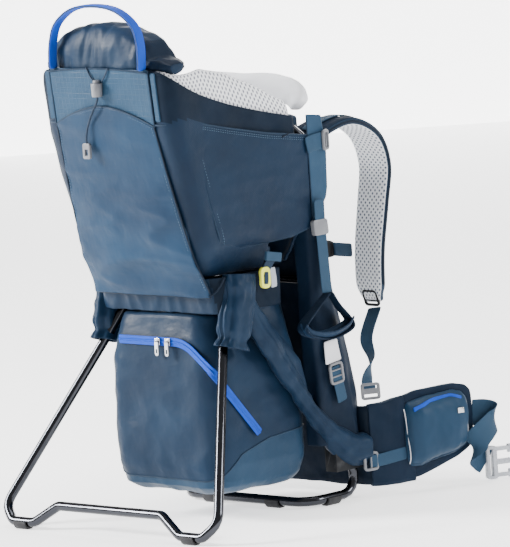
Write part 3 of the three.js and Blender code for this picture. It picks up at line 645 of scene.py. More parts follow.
def cabin_row(share, inset=0.0, count=128):
    """One row of the cabin's wall, from the floor at share 0 to the rim at share 1."""
    nominal = mix(CABIN_FLOOR, CABIN_TOP, share)
    half, front = along_table(HALF_WIDTHS, nominal)
    row = []
    for x, y in plan_ring(half - inset, rear_at(nominal) + inset, front - inset, 27 - inset * 0.6, count):
        height = nominal
        if nominal > 470:
            height = 470 + (rim_height(y) - 470) * (nominal - 470) / (CABIN_TOP - 470)
        row.append(Vector((x + math.copysign(flare_at(y), x), y, height)))
    return row


def in_leg_way(p):
    return abs(p.x) > 86 and -52 < p.y < 4 and p.z < 392


def cabin_shell():
    rows = [cabin_row(i / 52, WALL / 2) for i in range(53)]

    def is_yoke(r, c, p):
        return 1 if p.z > along_table(PANEL_HEM, p.y)[0] else 0

    # The wall's lower cloth is the darker copy of the steel-blue cloth: painted shade.
    shell = surface("cabin_wall", "carrier", [SHADED_SIDE_CLOTH, DEEP_CLOTH], rows, wrap=True, thick=WALL,
                    level=1, kind=is_yoke, keep=lambda p: not in_leg_way(p), hides=["cabin_shell"])
    crumple(shell, [(0.8, 60, (1, 1, 1.6), False), (0.4, 26, (1, 1, 2), True)], seed=3)
    floor = [[p.lerp(Vector((0, -85, 352)), t) for p in cabin_row(0, WALL)] for t in (0, 0.3, 0.6, 0.9)]
    surface("cabin_floor", "carrier", DEEP_CLOTH, floor, wrap=True, thick=4,
            keep=lambda p: not in_leg_way(p))


# Places of the side panel's edges, as (height, y) for its rear edge and (y, height) for the others.
PANEL_REAR = [(387, -150), (462, -176), (575, -203)]
PANEL_FOOT = [(-150, 386), (-102, 387), (-56, 389), (-21, 392), (20, 402), (50, 424)]
PANEL_HEM = [(-203, 576), (-130, 558), (-61, 543), (23, 530), (52, 536)]
PANEL_SEAM = 20                  # y of the seam between side panel and flap
FLAP_FRONT = [(402, 30), (424, 50), (440, 54), (505, 57), (556, 50)]


def side_x(y, z):
    """x of the outside of the side panels: over the cabin's wall, then out past the upright."""
    half = along_table(HALF_WIDTHS, z)[0]
    wall = half + flare_at(y) + 3.6
    out = mix(wall, 136.5, smoothstep(y, -60, 10))
    swell = 3.5 * math.sin(math.pi * clamp((z - 385) / 170)) * math.sin(math.pi * clamp((y + 190) / 180))
    return out + swell - 5 * smoothstep(412 - z, 0, 30) * smoothstep(-y, 20, 90)


def side_panels(side, mark):
    def at(y, z, out=0.0):
        return Vector((mark * (side_x(y, z) + out), y, z))

    def panel_row(v):
        row = []
        for i in range(49):
            u = i / 48
            low = along_table(PANEL_FOOT, mix(-150, PANEL_SEAM, u))[0]
            high = along_table(PANEL_HEM, mix(-203, PANEL_SEAM, u))[0]
            z = mix(low, high, v)
            y = mix(along_table(PANEL_REAR, z)[0], PANEL_SEAM, u)
            row.append(at(y, z))
        return row

    rows = [panel_row(i / 40) for i in range(41)]
    # The side panel wears the darker copy of the steel-blue cloth: painted shade.
    panel = surface(f"side_panel_{side}", "carrier", SHADED_SIDE_CLOTH, rows, thick=1.6)
    crumple(panel, [(1.3, 70, (1, 1.3, 1), False), (0.5, 30, (1, 2, 0.8), True)], seed=11 + mark)
    flap = []
    for i in range(41):
        v = i / 40
        front = along_table(FLAP_FRONT, mix(408, 556, v))[0]
        flap.append([at(mix(PANEL_SEAM, front, j / 10), mix(mix(402, 560, v), mix(424, 556, v), j / 10), 0.4)
                     for j in range(11)])
    # The flap wears the lightened ripstop cloth: a painted highlight.
    surface(f"side_flap_{side}", "carrier", LIT_RIPSTOP_CLOTH, flap, thick=2.4)
    piping(f"side_seam_{side}", "carrier", BINDING, [at(PANEL_SEAM, mix(404, 556, i / 30), 1.2)
                                                               for i in range(31)], 0.9)
    hem = [p + Vector((mark * 0.6, 0, 0)) for p in rows[-1]]
    piping(f"side_hem_{side}", "carrier", BINDING, hem, 1.4)
    piping(f"side_rear_seam_{side}", "carrier", BINDING, [row[0] for row in rows], 1.3)
    foot = [p + Vector((mark * 0.4, 0, 0)) for p in rows[0]]
    piping(f"side_foot_seam_{side}", "carrier", BINDING, foot, 1.2)
    lines = [[p + Vector((0, 0, -4)) for p in rows[-1]], [p + Vector((0, 0, -7)) for p in rows[-1]],
             [row[1] + Vector((0, 3.5, 0)) for row in rows]]
    stitches(f"side_stitches_{side}", "carrier", lines, lambda p: Vector((mark, 0, 0)), lift=1.2)
    tack = [at(-30 + i * 1.2, 534 + 0.3 * i, 1.4) for i in range(12)]
    piping(f"side_tack_{side}", "carrier", DEEP_BINDING, tack, 1.5)


# Height of the mesh collar over the rim, as (y, height).
LINER_RISE = [(-245, 4), (-225, 8), (-190, 26), (-165, 40), (-118, 45), (-60, 36), (-20, 24), (20, 16)]
LINER_DROP = 62
LINER_THICK = 10


def liner():
    """The padded mesh collar: a fat rolled edge that stands over the rim all the way round."""
    rim = cabin_row(1.0, WALL + 1.5, 150)
    rows = []
    for i, p in enumerate(rim):
        before, after = rim[i - 1], rim[(i + 1) % len(rim)]
        way = (after - before).normalized()
        inward = Vector((way.y, -way.x, 0)).normalized()
        if inward.dot(Vector((0, -110, 0)) - Vector((p.x, p.y, 0))) < 0:
            inward.negate()
        rise = along_table(LINER_RISE, p.y)[0]
        row = []
        for j in range(18):
            angle = 2 * math.pi * j / 18
            up = math.sin(angle)
            z = mix(-LINER_DROP, rise, (math.copysign(abs(up) ** 0.55, up) + 1) / 2)
            lean = 0.10 * max(z, 0)
            row.append(p + inward * (LINER_THICK / 2 * (1 + math.cos(angle)) + lean - 2) + Vector((0, 0, z)))
        rows.append(row)
    rows.append(rows[0])
    piece = surface("cabin_collar", "carrier", PALE_MESH, rows, wrap=True, level=1,
                    hides=["cabin_liner"])
    crumple(piece, [(1.6, 55, (1, 1, 1), False)], seed=5)


def pillow(name, body, look, rows, cap, hides=(), kind=None, voxel=5):
    """A closed pad that is blown up as cloth."""
    piece = surface(name, body, look, rows, wrap=True, caps=True, level=1, hides=hides, kind=kind)
    inflated(piece, voxel, cap)
    return piece


def child_seat():
    path = spline([(0, -150, 398), (0, -110, 390), (0, -60, 388), (0, -20, 396), (0, -6, 414)], 26)
    section = lambda t: oval(mix(184, 90, clamp(t * 1.3)), 14, 0.4, 28)
    pillow("child_seat_pad", "seat", DEEP_CLOTH, carried(path, section, X_AXIS), 5, ["child_seat"])


def child_harness():
    route = [(44, -202, 600), (42, -180, 560), (34, -152, 520), (14, -126, 504)]
    for side, points in (("right", vectors(route)), ("left", flipped(route))):
        path = spline(points, 20)
        rows = carried(path, lambda t: oval(34 - 8 * t, 8, 0.4, 20), X_AXIS)
        hides = ["child_harness"] if side == "right" else []
        pad = surface(f"child_harness_{side}", "carrier", NAVY_CLOTH, rows, wrap=True, caps=True,
                      hides=hides)
    middle = Vector((0, -120, 502))
    buckle = carried([middle - Vector((0, 2.4, -4)), middle, middle + Vector((0, 2.4, -4))],
                     lambda t: oval(46 - 6 * abs(t - 0.5), 40, 0.35, 24), X_AXIS)
    surface("child_buckle", "carrier", BLACK_PLASTIC, buckle, wrap=True, caps=True)


def chin_pad():
    right = [(120, 28, 571), (106, 32, 587), (60, 34, 595)]
    path = spline([*flipped(right), Vector((0, 35, 594)), *vectors(right[::-1])], 40)
    rows = carried(path, lambda t: oval(40 + 6 * math.sin(math.pi * t), 22, 0.6, 24), Z_AXIS)
    pillow("chin_rest_pad", "chin_rest", SOFT_PALE, rows, 3.0, ["chin_pad"])


def headrest_pouch():
    """The rolled sun roof's pouch: a low dome whose cloth is drawn in at both ends."""
    rows = []
    columns = 56
    for i in range(columns + 1):
        x = mix(-119, 123, i / columns)
        share = math.sqrt(max(1 - abs(x / 125) ** 2.6, 0.0))
        height = 18 * share + 42 * math.sqrt(max(1 - abs((x + 12) / 100) ** 2.2, 0.0))
        depth = 6 + 24 * share
        row = []
        for j in range(40):
            angle = 2 * math.pi * j / 40
            pleat = 1 + 0.05 * math.sin(9 * angle + x * 0.02) * smoothstep(abs(x), 40, 105)
            reach = depth * (1 if math.cos(angle) > 0 else 1.5)
            y = -214 - reach * math.copysign(abs(math.cos(angle)) ** 0.8, math.cos(angle)) * pleat
            up = math.sin(angle)
            z = 654 + (height * pleat * abs(up) ** 0.75 if up > 0 else 10 * up)
            row.append(Vector((x, y, z)))
        rows.append(row)
    piece = surface("sun_roof_pouch", "carrier", [STEEL_CLOTH, NAVY_CLOTH], rows, wrap=True,
                    caps=True, kind=lambda r, c, p: 1 if p.x > 72 else 0, hides=["headrest_pouch"])
    crumple(piece, [(2.4, 34, (0.8, 1, 1.6), False), (1.4, 22, (0.7, 1, 2.2), True)], seed=21)
    seam = [Vector((x, rear_at(655) - 5, 653 - 5 * (x / 100) ** 2)) for x in range(-100, 101, 8)]
    piping("pouch_seam", "carrier", BINDING, seam, 1.4)


def carry_handle():
    half = [(88, -247, 652), (89, -247, 664), (87, -245, 690), (76, -244, 715), (44, -244, 735)]
    path = spline([*flipped(half), Vector((0, -244, 741)), *vectors(half[::-1])], 72)

    def bound_edge(r, c, p):
        return 1 if min((c + 1) % 8, 7 - c % 8) == 0 else 0

    strap("carry_handle_web", "handle", [BLUE_TAPE, BINDING], path, 15, 5, Y_AXIS,
          hides=["carry_handle"], square=0.4, kind=bound_edge)


# ---- the rear panel -----------------------------------------------------------------------

def pocket_point(u, v, out=0.0):
    """A place on the rear pocket: u from -1 to 1 across, v from 0 at its foot to 1 at its arched top."""
    top = 600 - 27 * abs(u) ** 1.7
    z = mix(325, top, v)
    half = mix(114, 97, v)
    swell = 9 * (1 - 0.75 * abs(u) ** 3) * (0.55 + 0.45 * math.sin(math.pi * clamp(v * 1.05)))
    sag = 3 * math.exp(-((v - 0.12) / 0.1) ** 2) * (1 - abs(u) ** 4)
    return Vector((u * half, rear_at(z) - 1.5 - swell - sag - out, z))


def pocket_folds(p):
    """Folds run out from the lower corners and fade to nothing near the arched top."""
    return 0.35 + 0.65 * smoothstep(470 - p.z, -60, 90)


def rear_pocket():
    rows = [[pocket_point(mix(-1, 1, i / 72), j / 80) for i in range(73)] for j in range(81)]
    # The pocket's cloth is lightened as painted light for the lit rear.
    pocket = surface("stretch_pocket", "carrier", LIT_POCKET_CLOTH, rows, thick=1.8,
                     hides=["rear_pocket"])
    folds = [(2.6, 90, (1.4, 1, 1), False), (4.0, 52, (2.6, 1, 0.7), True), (0.6, 16, (1.6, 1, 1), False)]
    crumple(pocket, folds, seed=31, keep_still=pocket_folds)
    for side, mark in SIDES:
        edge = [pocket_point(mark, i / 50, 0.6) for i in range(51)]
        piping(f"pocket_seam_{side}", "carrier", DEEP_BINDING, edge, 1.5)
        gusset_seam(side, mark)
    hem = [pocket_point(mix(-1, 1, i / 60), 1.0, 0.5) for i in range(61)]
    piping("pocket_hem", "carrier", BINDING, hem, 1.7)
    foot = [pocket_point(mix(-1, 1, i / 60), 0.0, 0.5) for i in range(61)]
    piping("pocket_foot", "carrier", DEEP_BINDING, foot, 2.0)
    lines = [[pocket_point(mix(-0.97, 0.97, i / 60), 0.985, 1.2) for i in range(61)]]
    for edge in (-0.955, 0.955):
        lines.append([pocket_point(edge, i / 50, 1.0) for i in range(2, 50)])
    stitches("pocket_stitches", "carrier", lines, lambda p: Vector((0, -1, 0)))
    upper = []
    for j in range(25):
        z = mix(556, 653, j / 24)
        row = []
        for i in range(41):
            bow = 2 * math.cos(mix(-1.5, 1.5, i / 40))
            row.append(Vector((mix(-98, 98, i / 40), rear_at(z) - 2.5 - bow, z)))
        upper.append(row)
    # The upper panel's cloth is lightened as painted light for the lit rear.
    panel = surface("rear_upper_panel", "carrier", LIT_RIPSTOP_CLOTH, upper, thick=1.6)
    crumple(panel, [(1.0, 50, (1.5, 1, 1), False)], seed=33)
    for side, mark in SIDES:
        seam = [Vector((mark * 98, rear_at(z) - 3, z)) for z in range(572, 653, 4)]
        piping(f"upper_seam_{side}", "carrier", BINDING, seam, 1.4)
        edge = [Vector((mark * 105, rear_at(z) - 1, z)) for z in range(580, 652, 4)]
        strap(f"upper_strip_{side}", "carrier", LIT_RIPSTOP_CLOTH, edge, 9, 3, X_AXIS)


def gusset_seam(side, mark):
    """The dart between the pocket's edge and the foot of the cabin's corner."""
    start, end = rear_at(340) - 2, rear_at(352) + 22
    line = [Vector((mark * mix(112, 128, t), mix(start, end, t), mix(327, 352, t * t)))
            for t in (i / 12 for i in range(13))]
    piping(f"gusset_seam_{side}", "carrier", DEEP_BINDING, line, 1.6)
    hem = [Vector((mark * (98 + 31 * math.sin(t)), rear_at(575) + 29 * (1 - math.cos(t)) - 2, 575))
           for t in (math.pi / 2 * i / 14 for i in range(15))]
    piping(f"gusset_hem_{side}", "carrier", BINDING, hem, 1.8)


def drawcord():
    """The V of cord that comes from the pouch's seam to the lock."""
    low = Vector((2, -242.2, 620))
    for side, way in SIDES:
        top = vectors([(2 + way * 22, -249.5, 655), (2 + way * 13, -249.8, 641), (2 + way * 5, -249, 634)])
        path = spline([*top, low + Vector((way * 2, -4, 11))], 20)
        rows = carried(path, lambda t: oval(2.4, 2.4, 1, 10), X_AXIS)
        surface(f"drawcord_{side}", "carrier", CORD, rows, wrap=True, caps=True,
                hides=["drawcord"] if way > 0 else [])


# ---- waist band and sleeves ---------------------------------------------------------------

WAIST_HALF = 127


def waist_band():
    rows = []
    for j in range(17):
        z = mix(299, 351.5, j / 16)
        rear = rear_at(z) + 2
        half = WAIST_HALF - 2
        corners = [(half, -42, z), (half, rear, z), (-half, rear, z), (-half, -42, z)]
        rows.append(resampled(rounded(corners, 30, 8), 150))
    band = surface("waist_cloth", "carrier", [STEEL_CLOTH, DEEP_CLOTH], rows, thick=2.4,
                   kind=lambda r, c, p: 1 if abs(p.x) > 112 else 0, hides=["waist_band"])
    crumple(band, [(1.6, 26, (1, 1, 2.4), True), (1.4, 60, (1, 1, 1), False)], seed=41)
    for side, mark in SIDES:
        leg_sleeve(side, mark)
        brace_sleeve(side, mark)
        side_wing(side, mark)
        side_skirt(side, mark)


def side_skirt(side, mark):
    """The loose cloth that wraps each upright, from the storage compartment round to the back panel."""
    rows = []
    for i in range(45):
        t = i / 44
        z = mix(86, 404, t)
        back = along_table([(86, 104), (150, 98), (200, 88), (260, 76), (330, 62), (404, 52)], z)[0]
        full = 1 + 0.6 * math.sin(math.pi * t) * (1 - t)
        corners = [(mark * 104, 14, z), (mark * 130, 16, z), (mark * (132 + 2 * full), back - 22, z),
                   (mark * 122, back + 2 * full, z), (mark * 98, back + 2, z)]
        rows.append(resampled(rounded(corners, [9, 8, 12], 5), 56))
    skirt = surface(f"side_skirt_{side}", "carrier", NAVY_CLOTH, rows, thick=1.8)
    crumple(skirt, [(2.6, 46, (1, 1, 2.2), False), (1.6, 28, (1, 1, 3.0), True)], seed=57 + mark)


def gathered(path, half_x, half_y, folds, depth, seed, turn):
    """Rows round a path whose cloth is drawn into folds."""
    rows = []
    last = len(path) - 1
    for i, p in enumerate(path):
        t = i / last
        way = (path[min(i + 1, last)] - path[max(i - 1, 0)]).normalized()
        side = (X_AXIS - way * X_AXIS.dot(way)).normalized()
        other = way.cross(side)
        row = []
        for j in range(72):
            angle = 2 * math.pi * j / 72
            ripple = math.sin(folds * angle + seed + turn * t + 1.3 * math.sin(2 * angle + seed))
            ripple += 0.5 * noise.noise(Vector((math.cos(angle) * 2, math.sin(angle) * 2, t * 3 + seed)))
            grow = 1 + depth(t) * ripple
            sideways = side * math.cos(angle) * half_x(t)
            outward = other * math.sin(angle) * half_y(t)
            row.append(p + sideways * grow + outward * grow)
        rows.append(row)
    return rows


def leg_sleeve(side, mark):
    """The gathered sleeve round a kickstand leg, drawn in near its foot."""
    route = [(124, -122, 352), (126, -126, 324), (125, -136, 285), (124, -146, 250)]
    path = spline(on_side(mark, route), 30)
    narrow = lambda t: 1 - 0.22 * math.exp(-((t - 0.88) / 0.07) ** 2)
    rows = gathered(path, lambda t: mix(16, 18, t) * narrow(t), lambda t: mix(25, 27, t) * narrow(t), 9,
                    lambda t: mix(0.04, 0.10, t), 2.0 + mark, 1.5)
    sleeve = surface(f"leg_sleeve_{side}", "carrier", STEEL_CLOTH, rows, wrap=True, thick=1.6)
    crumple(sleeve, [(1.6, 20, (1, 1, 1.3), True)], seed=43 + mark)


def brace_sleeve(side, mark):
    """The crumpled sleeve that covers the brace tube, from the leg sleeve to the hip belt."""
    route = [(124, -116, 318), (125, -86, 266), (127, -47, 204), (130, 0, 140), (132, 38, 98), (134, 70, 76),
             (138, 96, 72)]
    path = spline(on_side(mark, route), 60)
    swell = lambda t: 7 * smoothstep(t, 0.6, 0.85)
    rows = gathered(path, lambda t: 10 + swell(t), lambda t: 13 + 3 * math.sin(7 * t) + swell(t), 5,
                    lambda t: 0.07, 5.0 + mark, 6.0)
    sleeve = surface(f"brace_sleeve_{side}", "carrier", STEEL_CLOTH, rows, wrap=True, thick=1.6)
    crumple(sleeve, [(1.8, 26, (1, 1, 1), True), (1.5, 48, (1, 1, 1), False)], seed=47 + mark)


def side_wing(side, mark):
    """The taut triangle of cloth between the brace sleeve and the upright."""
    top, front, foot = Vector((0, -104, 316)), Vector((0, -10, 214)), Vector((0, 6, 130))
    rows = []
    for i in range(29):
        s = i / 28
        start = top.lerp(foot, s) + Vector((0, -6, 0)) * math.sin(math.pi * s)
        end = top.lerp(front, min(1, 2 * s)) if s < 0.5 else front.lerp(foot, 2 * s - 1)
        row = []
        for j in range(21):
            p = start.lerp(end, j / 20)
            swell = 5 * math.sin(math.pi * s) * math.sin(math.pi * j / 20)
            row.append(Vector((mark * (124 + swell), p.y, p.z)))
        rows.append(row)
    wing = surface(f"side_wing_{side}", "carrier", STEEL_CLOTH, rows, thick=1.6)
    crumple(wing, [(1.6, 40, (1, 1, 1), False)], seed=51 + mark)


# ---- storage compartment ------------------------------------------------------------------

BAG_LEVELS = [
    # height, half width, rear y, front y, corner radius
    (40, 84, -140, -16, 22), (43, 94, -152, 2, 26), (52, 104, -164, 11, 31), (80, 110, -171, 18, 36),
    (150, 112, -172, 17, 36), (225, 110, -171, 12, 36), (262, 99, -170, 10, 34), (298, 88, -159, 10, 30),
]
BASE_SEAM = [(-172, 62), (-160, 66), (-145, 80), (-128, 96), (-70, 112), (20, 118)]


def bag_row(z, count=168, grow=0.0):
    half, rear, front, corner = along_table(BAG_LEVELS, z)
    ring = plan_ring(half + grow, rear - grow, front + grow, corner, count)
    return [Vector((x, y, z)) for x, y in ring]


def seam_row(height):
    """A row round the bag at a height that follows the base panel's seam."""
    row = []
    for index, p in enumerate(bag_row(80)):
        z = height(along_table(BASE_SEAM, p.y)[0])
        row.append(bag_row_point(z, index))
    return row


@functools.lru_cache(maxsize=None)
def bag_level(z):
    return bag_row(z)


def bag_row_point(z, index):
    low = math.floor(z)
    return bag_level(low)[index].lerp(bag_level(low + 1)[index], z - low)


def storage_bag():
    base_rows = 14
    rows = [bag_row(z) for z in (40, 41, 43, 47)]
    for i in range(base_rows + 1):
        rows.append(seam_row(lambda seam: mix(52, seam, i / base_rows)))
    for i in range(1, 41):
        rows.append(seam_row(lambda seam: mix(seam, 298, i / 40)))

    def kind(r, c, p):
        return 1 if r < 4 + base_rows else 0

    bag = surface("storage_cloth", "carrier", [STEEL_CLOTH, PALE_CLOTH], rows, wrap=True,
                  caps=True, kind=kind, hides=["storage_bag"])
    clear_of_zip = lambda p: 0.25 + 0.75 * smoothstep(abs(p.z - 259), 4, 22)
    crumple(bag, [(2.2, 75, (1, 1, 1.2), False), (1.3, 38, (1.6, 1.6, 1), True), (0.5, 15, (1, 1, 1), False)],
            seed=61, keep_still=clear_of_zip)
    ring = [bag.data.vertices[(4 + base_rows) * 168 + c].co / MM for c in range(168)]
    piping("base_seam", "carrier", BINDING, [*ring, ring[0]], 1.3)


def zip_path(out=0.0):
    rear, side = -171 - 1.9 - out, 112.5 + out
    corners = [(-72, rear, 259), (58, rear, 259), (side + 2, rear, 216), (side + 2, -92, 122)]
    return resampled(rounded(corners, [60, 22], 12), 110)


def zip_across(t):
    return Z_AXIS.lerp(Y_AXIS, 0.8 * smoothstep(t, 0.5, 0.9))


def storage_zip():
    path = zip_path()
    strap("storage_zip_tape", "carrier", BLUE_TAPE, path, 12.5, 1.6, zip_across,
          hides=["storage_zip"], square=0.25)
    turns = 420

    def tooth(t):
        size = 1.0 if round(t * (turns - 1)) % 2 else 0.62
        return [(a * size, b * size) for a, b in oval(3.4, 1.8, 0.7, 8)]

    rows = carried(resampled(zip_path(0.9), turns), tooth, zip_across)
    surface("storage_zip_coil", "carrier", BLUE_TAPE, rows, wrap=True, caps=True,
            level=0)


# ---- the wearer's harness -----------------------------------------------------------------

def pad_kind(count):
    """Face groups of an oval section: 0 on its normal side, 1 on the other and 2 on both edges."""
    def kind(r, c, p):
        share = (c + 1) / count
        edge = min(share % 0.5, 0.5 - share % 0.5)
        if edge < 0.045:
            return 2
        return 0 if share < 0.5 else 1
    return kind


def back_panel():
    path = spline([(0, 74, 150), (0, 63, 200), (0, 45, 300), (0, 45, 420), (0, 48, 556)], 60)
    rows = carried(path, lambda t: oval(206 - 30 * smoothstep(t, 0.75, 1), 13, 0.3, 48), X_AXIS)
    pad = surface("back_pad", "carrier", [DEEP_CLOTH, NAVY_CLOTH, BINDING], rows, wrap=True,
                  caps=True, kind=pad_kind(48), hides=["back_panel"])
    crumple(pad, [(1.2, 40, (1, 1, 1.5), False)], seed=71)
    for side, mark in SIDES:
        shape = on_side(mark, [(52, 60, 300), (56, 55, 380), (50, 56, 470)])
        width = lambda t: 64 * math.sin(math.pi * mix(0.16, 0.84, t))
        column = carried(spline(shape, 30), lambda t: oval(width(t), 13, 0.6, 24), X_AXIS)
        pillow(f"back_cushion_{side}", "carrier", PALE_MESH_PLAIN, column, 2.5)


PALE_MESH_PLAIN = fabric("grey_cushion_cloth", (0.42, 0.45, 0.50), (0.30, 0.33, 0.38), 0.8, 0.4)


def lumbar_pad():
    path = spline([(0, 80, 242), (0, 85, 205), (0, 92, 166)], 24)
    rows = carried(path, lambda t: oval(184, 14, 0.45, 40), X_AXIS)
    pillow("lumbar_cushion", "carrier", SOFT_PALE, rows, 3, ["lumbar_pad"])


def shoulder_strap(side, mark):
    route = [(62, 65, 496), (74, 92, 524), (84, 140, 535), (88, 186, 511), (88, 205, 466),
             (88, 196, 411), (87, 184, 345), (86, 182, 290), (86, 187, 268)]
    points = on_side(mark, route)
    path = spline(points, 90)

    def section(t):
        taper = 1 - 0.35 * smoothstep(t, 0.93, 1)
        return oval((66 - 16 * t) * taper, 13 - 3 * smoothstep(t, 0.9, 1), 0.38, 32)

    pad = surface(f"shoulder_pad_{side}", "carrier", [STRAP_MESH, NAVY_CLOTH, BINDING],
                  carried(path, section, X_AXIS), wrap=True, caps=True, kind=pad_kind(32),
                  hides=[f"shoulder_strap_{side}"])
    edge = carried(path, lambda t: [(a * 0.985, 0) for a in ((33 - 8 * t), -(33 - 8 * t))], X_AXIS)
    for index, name in ((0, "inner"), (1, "outer")):
        line = [row[index] for row in edge[:84]]
        piping(f"shoulder_edge_{name}_{side}", "carrier", DEEP_BINDING, line, 2.2)
    outer = [row[0] for row in carried(path[8:70], lambda t: [(0, -8.2)], X_AXIS)]
    strap(f"shoulder_tape_{side}", "carrier", STEEL_TAPE, outer, 20, 1.6, X_AXIS)
    buckle_at = points[-1] + Vector((0, -6, 6))
    ladder(f"strap_buckle_{side}", "carrier", BLACK_PLASTIC, buckle_at, X_AXIS, Vector((0, 0.25, -1)), 30, 26)


def ladder(name, body, look, centre, across, down, width, height, bars=3, thick=4.2):
    """A ladder lock: a rounded frame with cross bars."""
    across = across.normalized()
    down = (down - across * down.dot(across)).normalized()
    corners = [(-1, -1), (1, -1), (1, 1), (-1, 1)]
    loop = [centre + across * a * (width / 2 - 2.2) + down * b * (height / 2 - 2.2) for a, b in corners]
    closed = [loop[0].lerp(loop[1], 0.5), *loop[1:], loop[0], loop[0].lerp(loop[1], 0.5)]
    normal = across.cross(down)
    ring = resampled(rounded(closed, 3.0, 4), 40)
    rows = carried(ring, lambda t: oval(4.4, thick, 0.6, 10), normal)
    surface(name, body, look, rows, wrap=True, level=1)
    for i in range(1, bars):
        b = mix(-1, 1, i / bars)
        middle = centre + down * b * (height / 2 - 2)
        ends = [middle - across * (width / 2 - 2.5), middle, middle + across * (width / 2 - 2.5)]
        rows = carried(ends, lambda t: oval(3.4, 2.8, 0.7, 8), normal)
        surface(f"{name}_bar_{i}", body, look, rows, wrap=True, caps=True, level=1)


def strap_webbing(side, mark):
    route = [(86, 187, 259), (95, 156, 220), (104, 155, 189), (112, 134, 160), (118, 134, 148)]
    path = spline(on_side(mark, route), 60)
    strap(f"strap_tape_{side}", "carrier", STEEL_TAPE, path, 24, 1.6, X_AXIS,
          hides=[f"strap_webbing_{side}"], twist=lambda t: mark * 0.5 * math.pi * smoothstep(t, 0.45, 0.9))


def sternum_strap():
    path = spline([(-55, 180, 342), (0, 181, 342), (55, 180, 342)], 24)
    strap("sternum_tape", "carrier", STEEL_TAPE, path, 20, 2, Z_AXIS, hides=["sternum_strap"])
    rows = carried(vectors([(-19, 180, 342), (-10, 180, 342), (0, 180, 342), (10, 180, 342), (19, 180, 342)]),
                   lambda t: oval(26 - 5 * abs(2 * t - 1) ** 3, 8, 0.4, 20), Z_AXIS)
    surface("sternum_buckle", "carrier", BLACK_PLASTIC, rows, wrap=True, caps=True)


def hip_belt():
    corners = [(149, 124, 75), (138, 98, 75), (-138, 98, 75), (-149, 124, 75)]
    path = resampled(rounded(corners, 14, 6), 100)
    rows = carried(path, lambda t: oval(114, 13, 0.34, 40), Z_AXIS)
    belt = surface("hip_belt_pad", "carrier", [NAVY_CLOTH, DEEP_CLOTH, BINDING], rows, wrap=True,
                   caps=True, kind=pad_kind(40), hides=["hip_belt"])
    crumple(belt, [(1.6, 46, (1, 1, 1), False), (1.0, 25, (1.6, 1, 1), True)], seed=81)


def belt_bridge(side, mark):
    """The padded cloth that carries the belt round into its wing."""
    route = [(141, 99, 75), (146, 112, 75), (151, 126, 75), (156, 142, 76), (162, 160, 78)]
    path = spline(on_side(mark, route), 36)
    rows = carried(path, lambda t: oval(118 + 8 * t, 16 - 5 * abs(2 * t - 1) ** 3, 0.4, 40), Z_AXIS)
    piece = surface(f"belt_bridge_{side}", None, [NAVY_CLOTH, DEEP_CLOTH, BINDING], rows,
                    wrap=True, caps=True, kind=pad_kind(40))
    crumple(piece, [(1.6, 34, (1, 1, 1.4), False), (0.9, 20, (1, 1, 1), True)], seed=85 + mark)
    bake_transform(piece)


WING_ROOT = Vector((151, 129, 75))
WING_WAY = (Vector((192, 262, 75)) - WING_ROOT).normalized()
WING_OUT = Vector((WING_WAY.y, -WING_WAY.x, 0))
# Sections of the wing as (distance along it, low, high), and of its pocket with a depth as well.
WING_STATIONS = [(-1, 20, 130), (20, 18, 139), (46, 20, 145), (110, 40, 147), (130, 51, 143), (139, 60, 134)]
POCKET_STATIONS = [(23, 46, 120, 3), (29, 38, 130, 15), (45, 37, 134, 20), (104, 49, 139, 20),
                   (119, 56, 136, 15), (127, 66, 126, 4)]


def wing_at(mark, along, out, z):
    p = WING_ROOT + WING_WAY * along + WING_OUT * out
    return Vector((mark * p.x, p.y, z))


def hip_wing(side, mark):
    body = f"wing_{side}"
    rows = []
    for i in range(41):
        along = mix(-1, 139, i / 40)
        low, high = along_table(WING_STATIONS, along)
        section = oval(high - low, 12 - 4 * smoothstep(along, 125, 139), 0.4, 36)
        rows.append([wing_at(mark, along, b, (low + high) / 2 + a) for a, b in section])
    wing = surface(f"wing_pad_{side}", body, [NAVY_CLOTH, DEEP_CLOTH, BINDING], rows, wrap=True,
                   caps=True, kind=pad_kind(36), hides=[f"hip_wing_{side}"])
    crumple(wing, [(1.3, 40, (1, 1, 1), False)], seed=91 + mark)
    edge = [wing_at(mark, mix(2, 24, t), 6.5, mix(28, 60, t)) for t in (i / 10 for i in range(11))]
    piping(f"wing_loop_{side}", body, SOFT_PALE, edge, 1.0)
    for level in (0.33, 0.62):
        line = []
        for i in range(30):
            along = mix(4, 136, i / 29)
            low, high = along_table(WING_STATIONS, along)
            line.append(wing_at(mark, along, -6.1, mix(low, high, level)))
        stitches(f"wing_stitches_{side}_{round(level * 100)}", body, [line],
                 lambda p: Vector((-mark, 0.3, 0)))


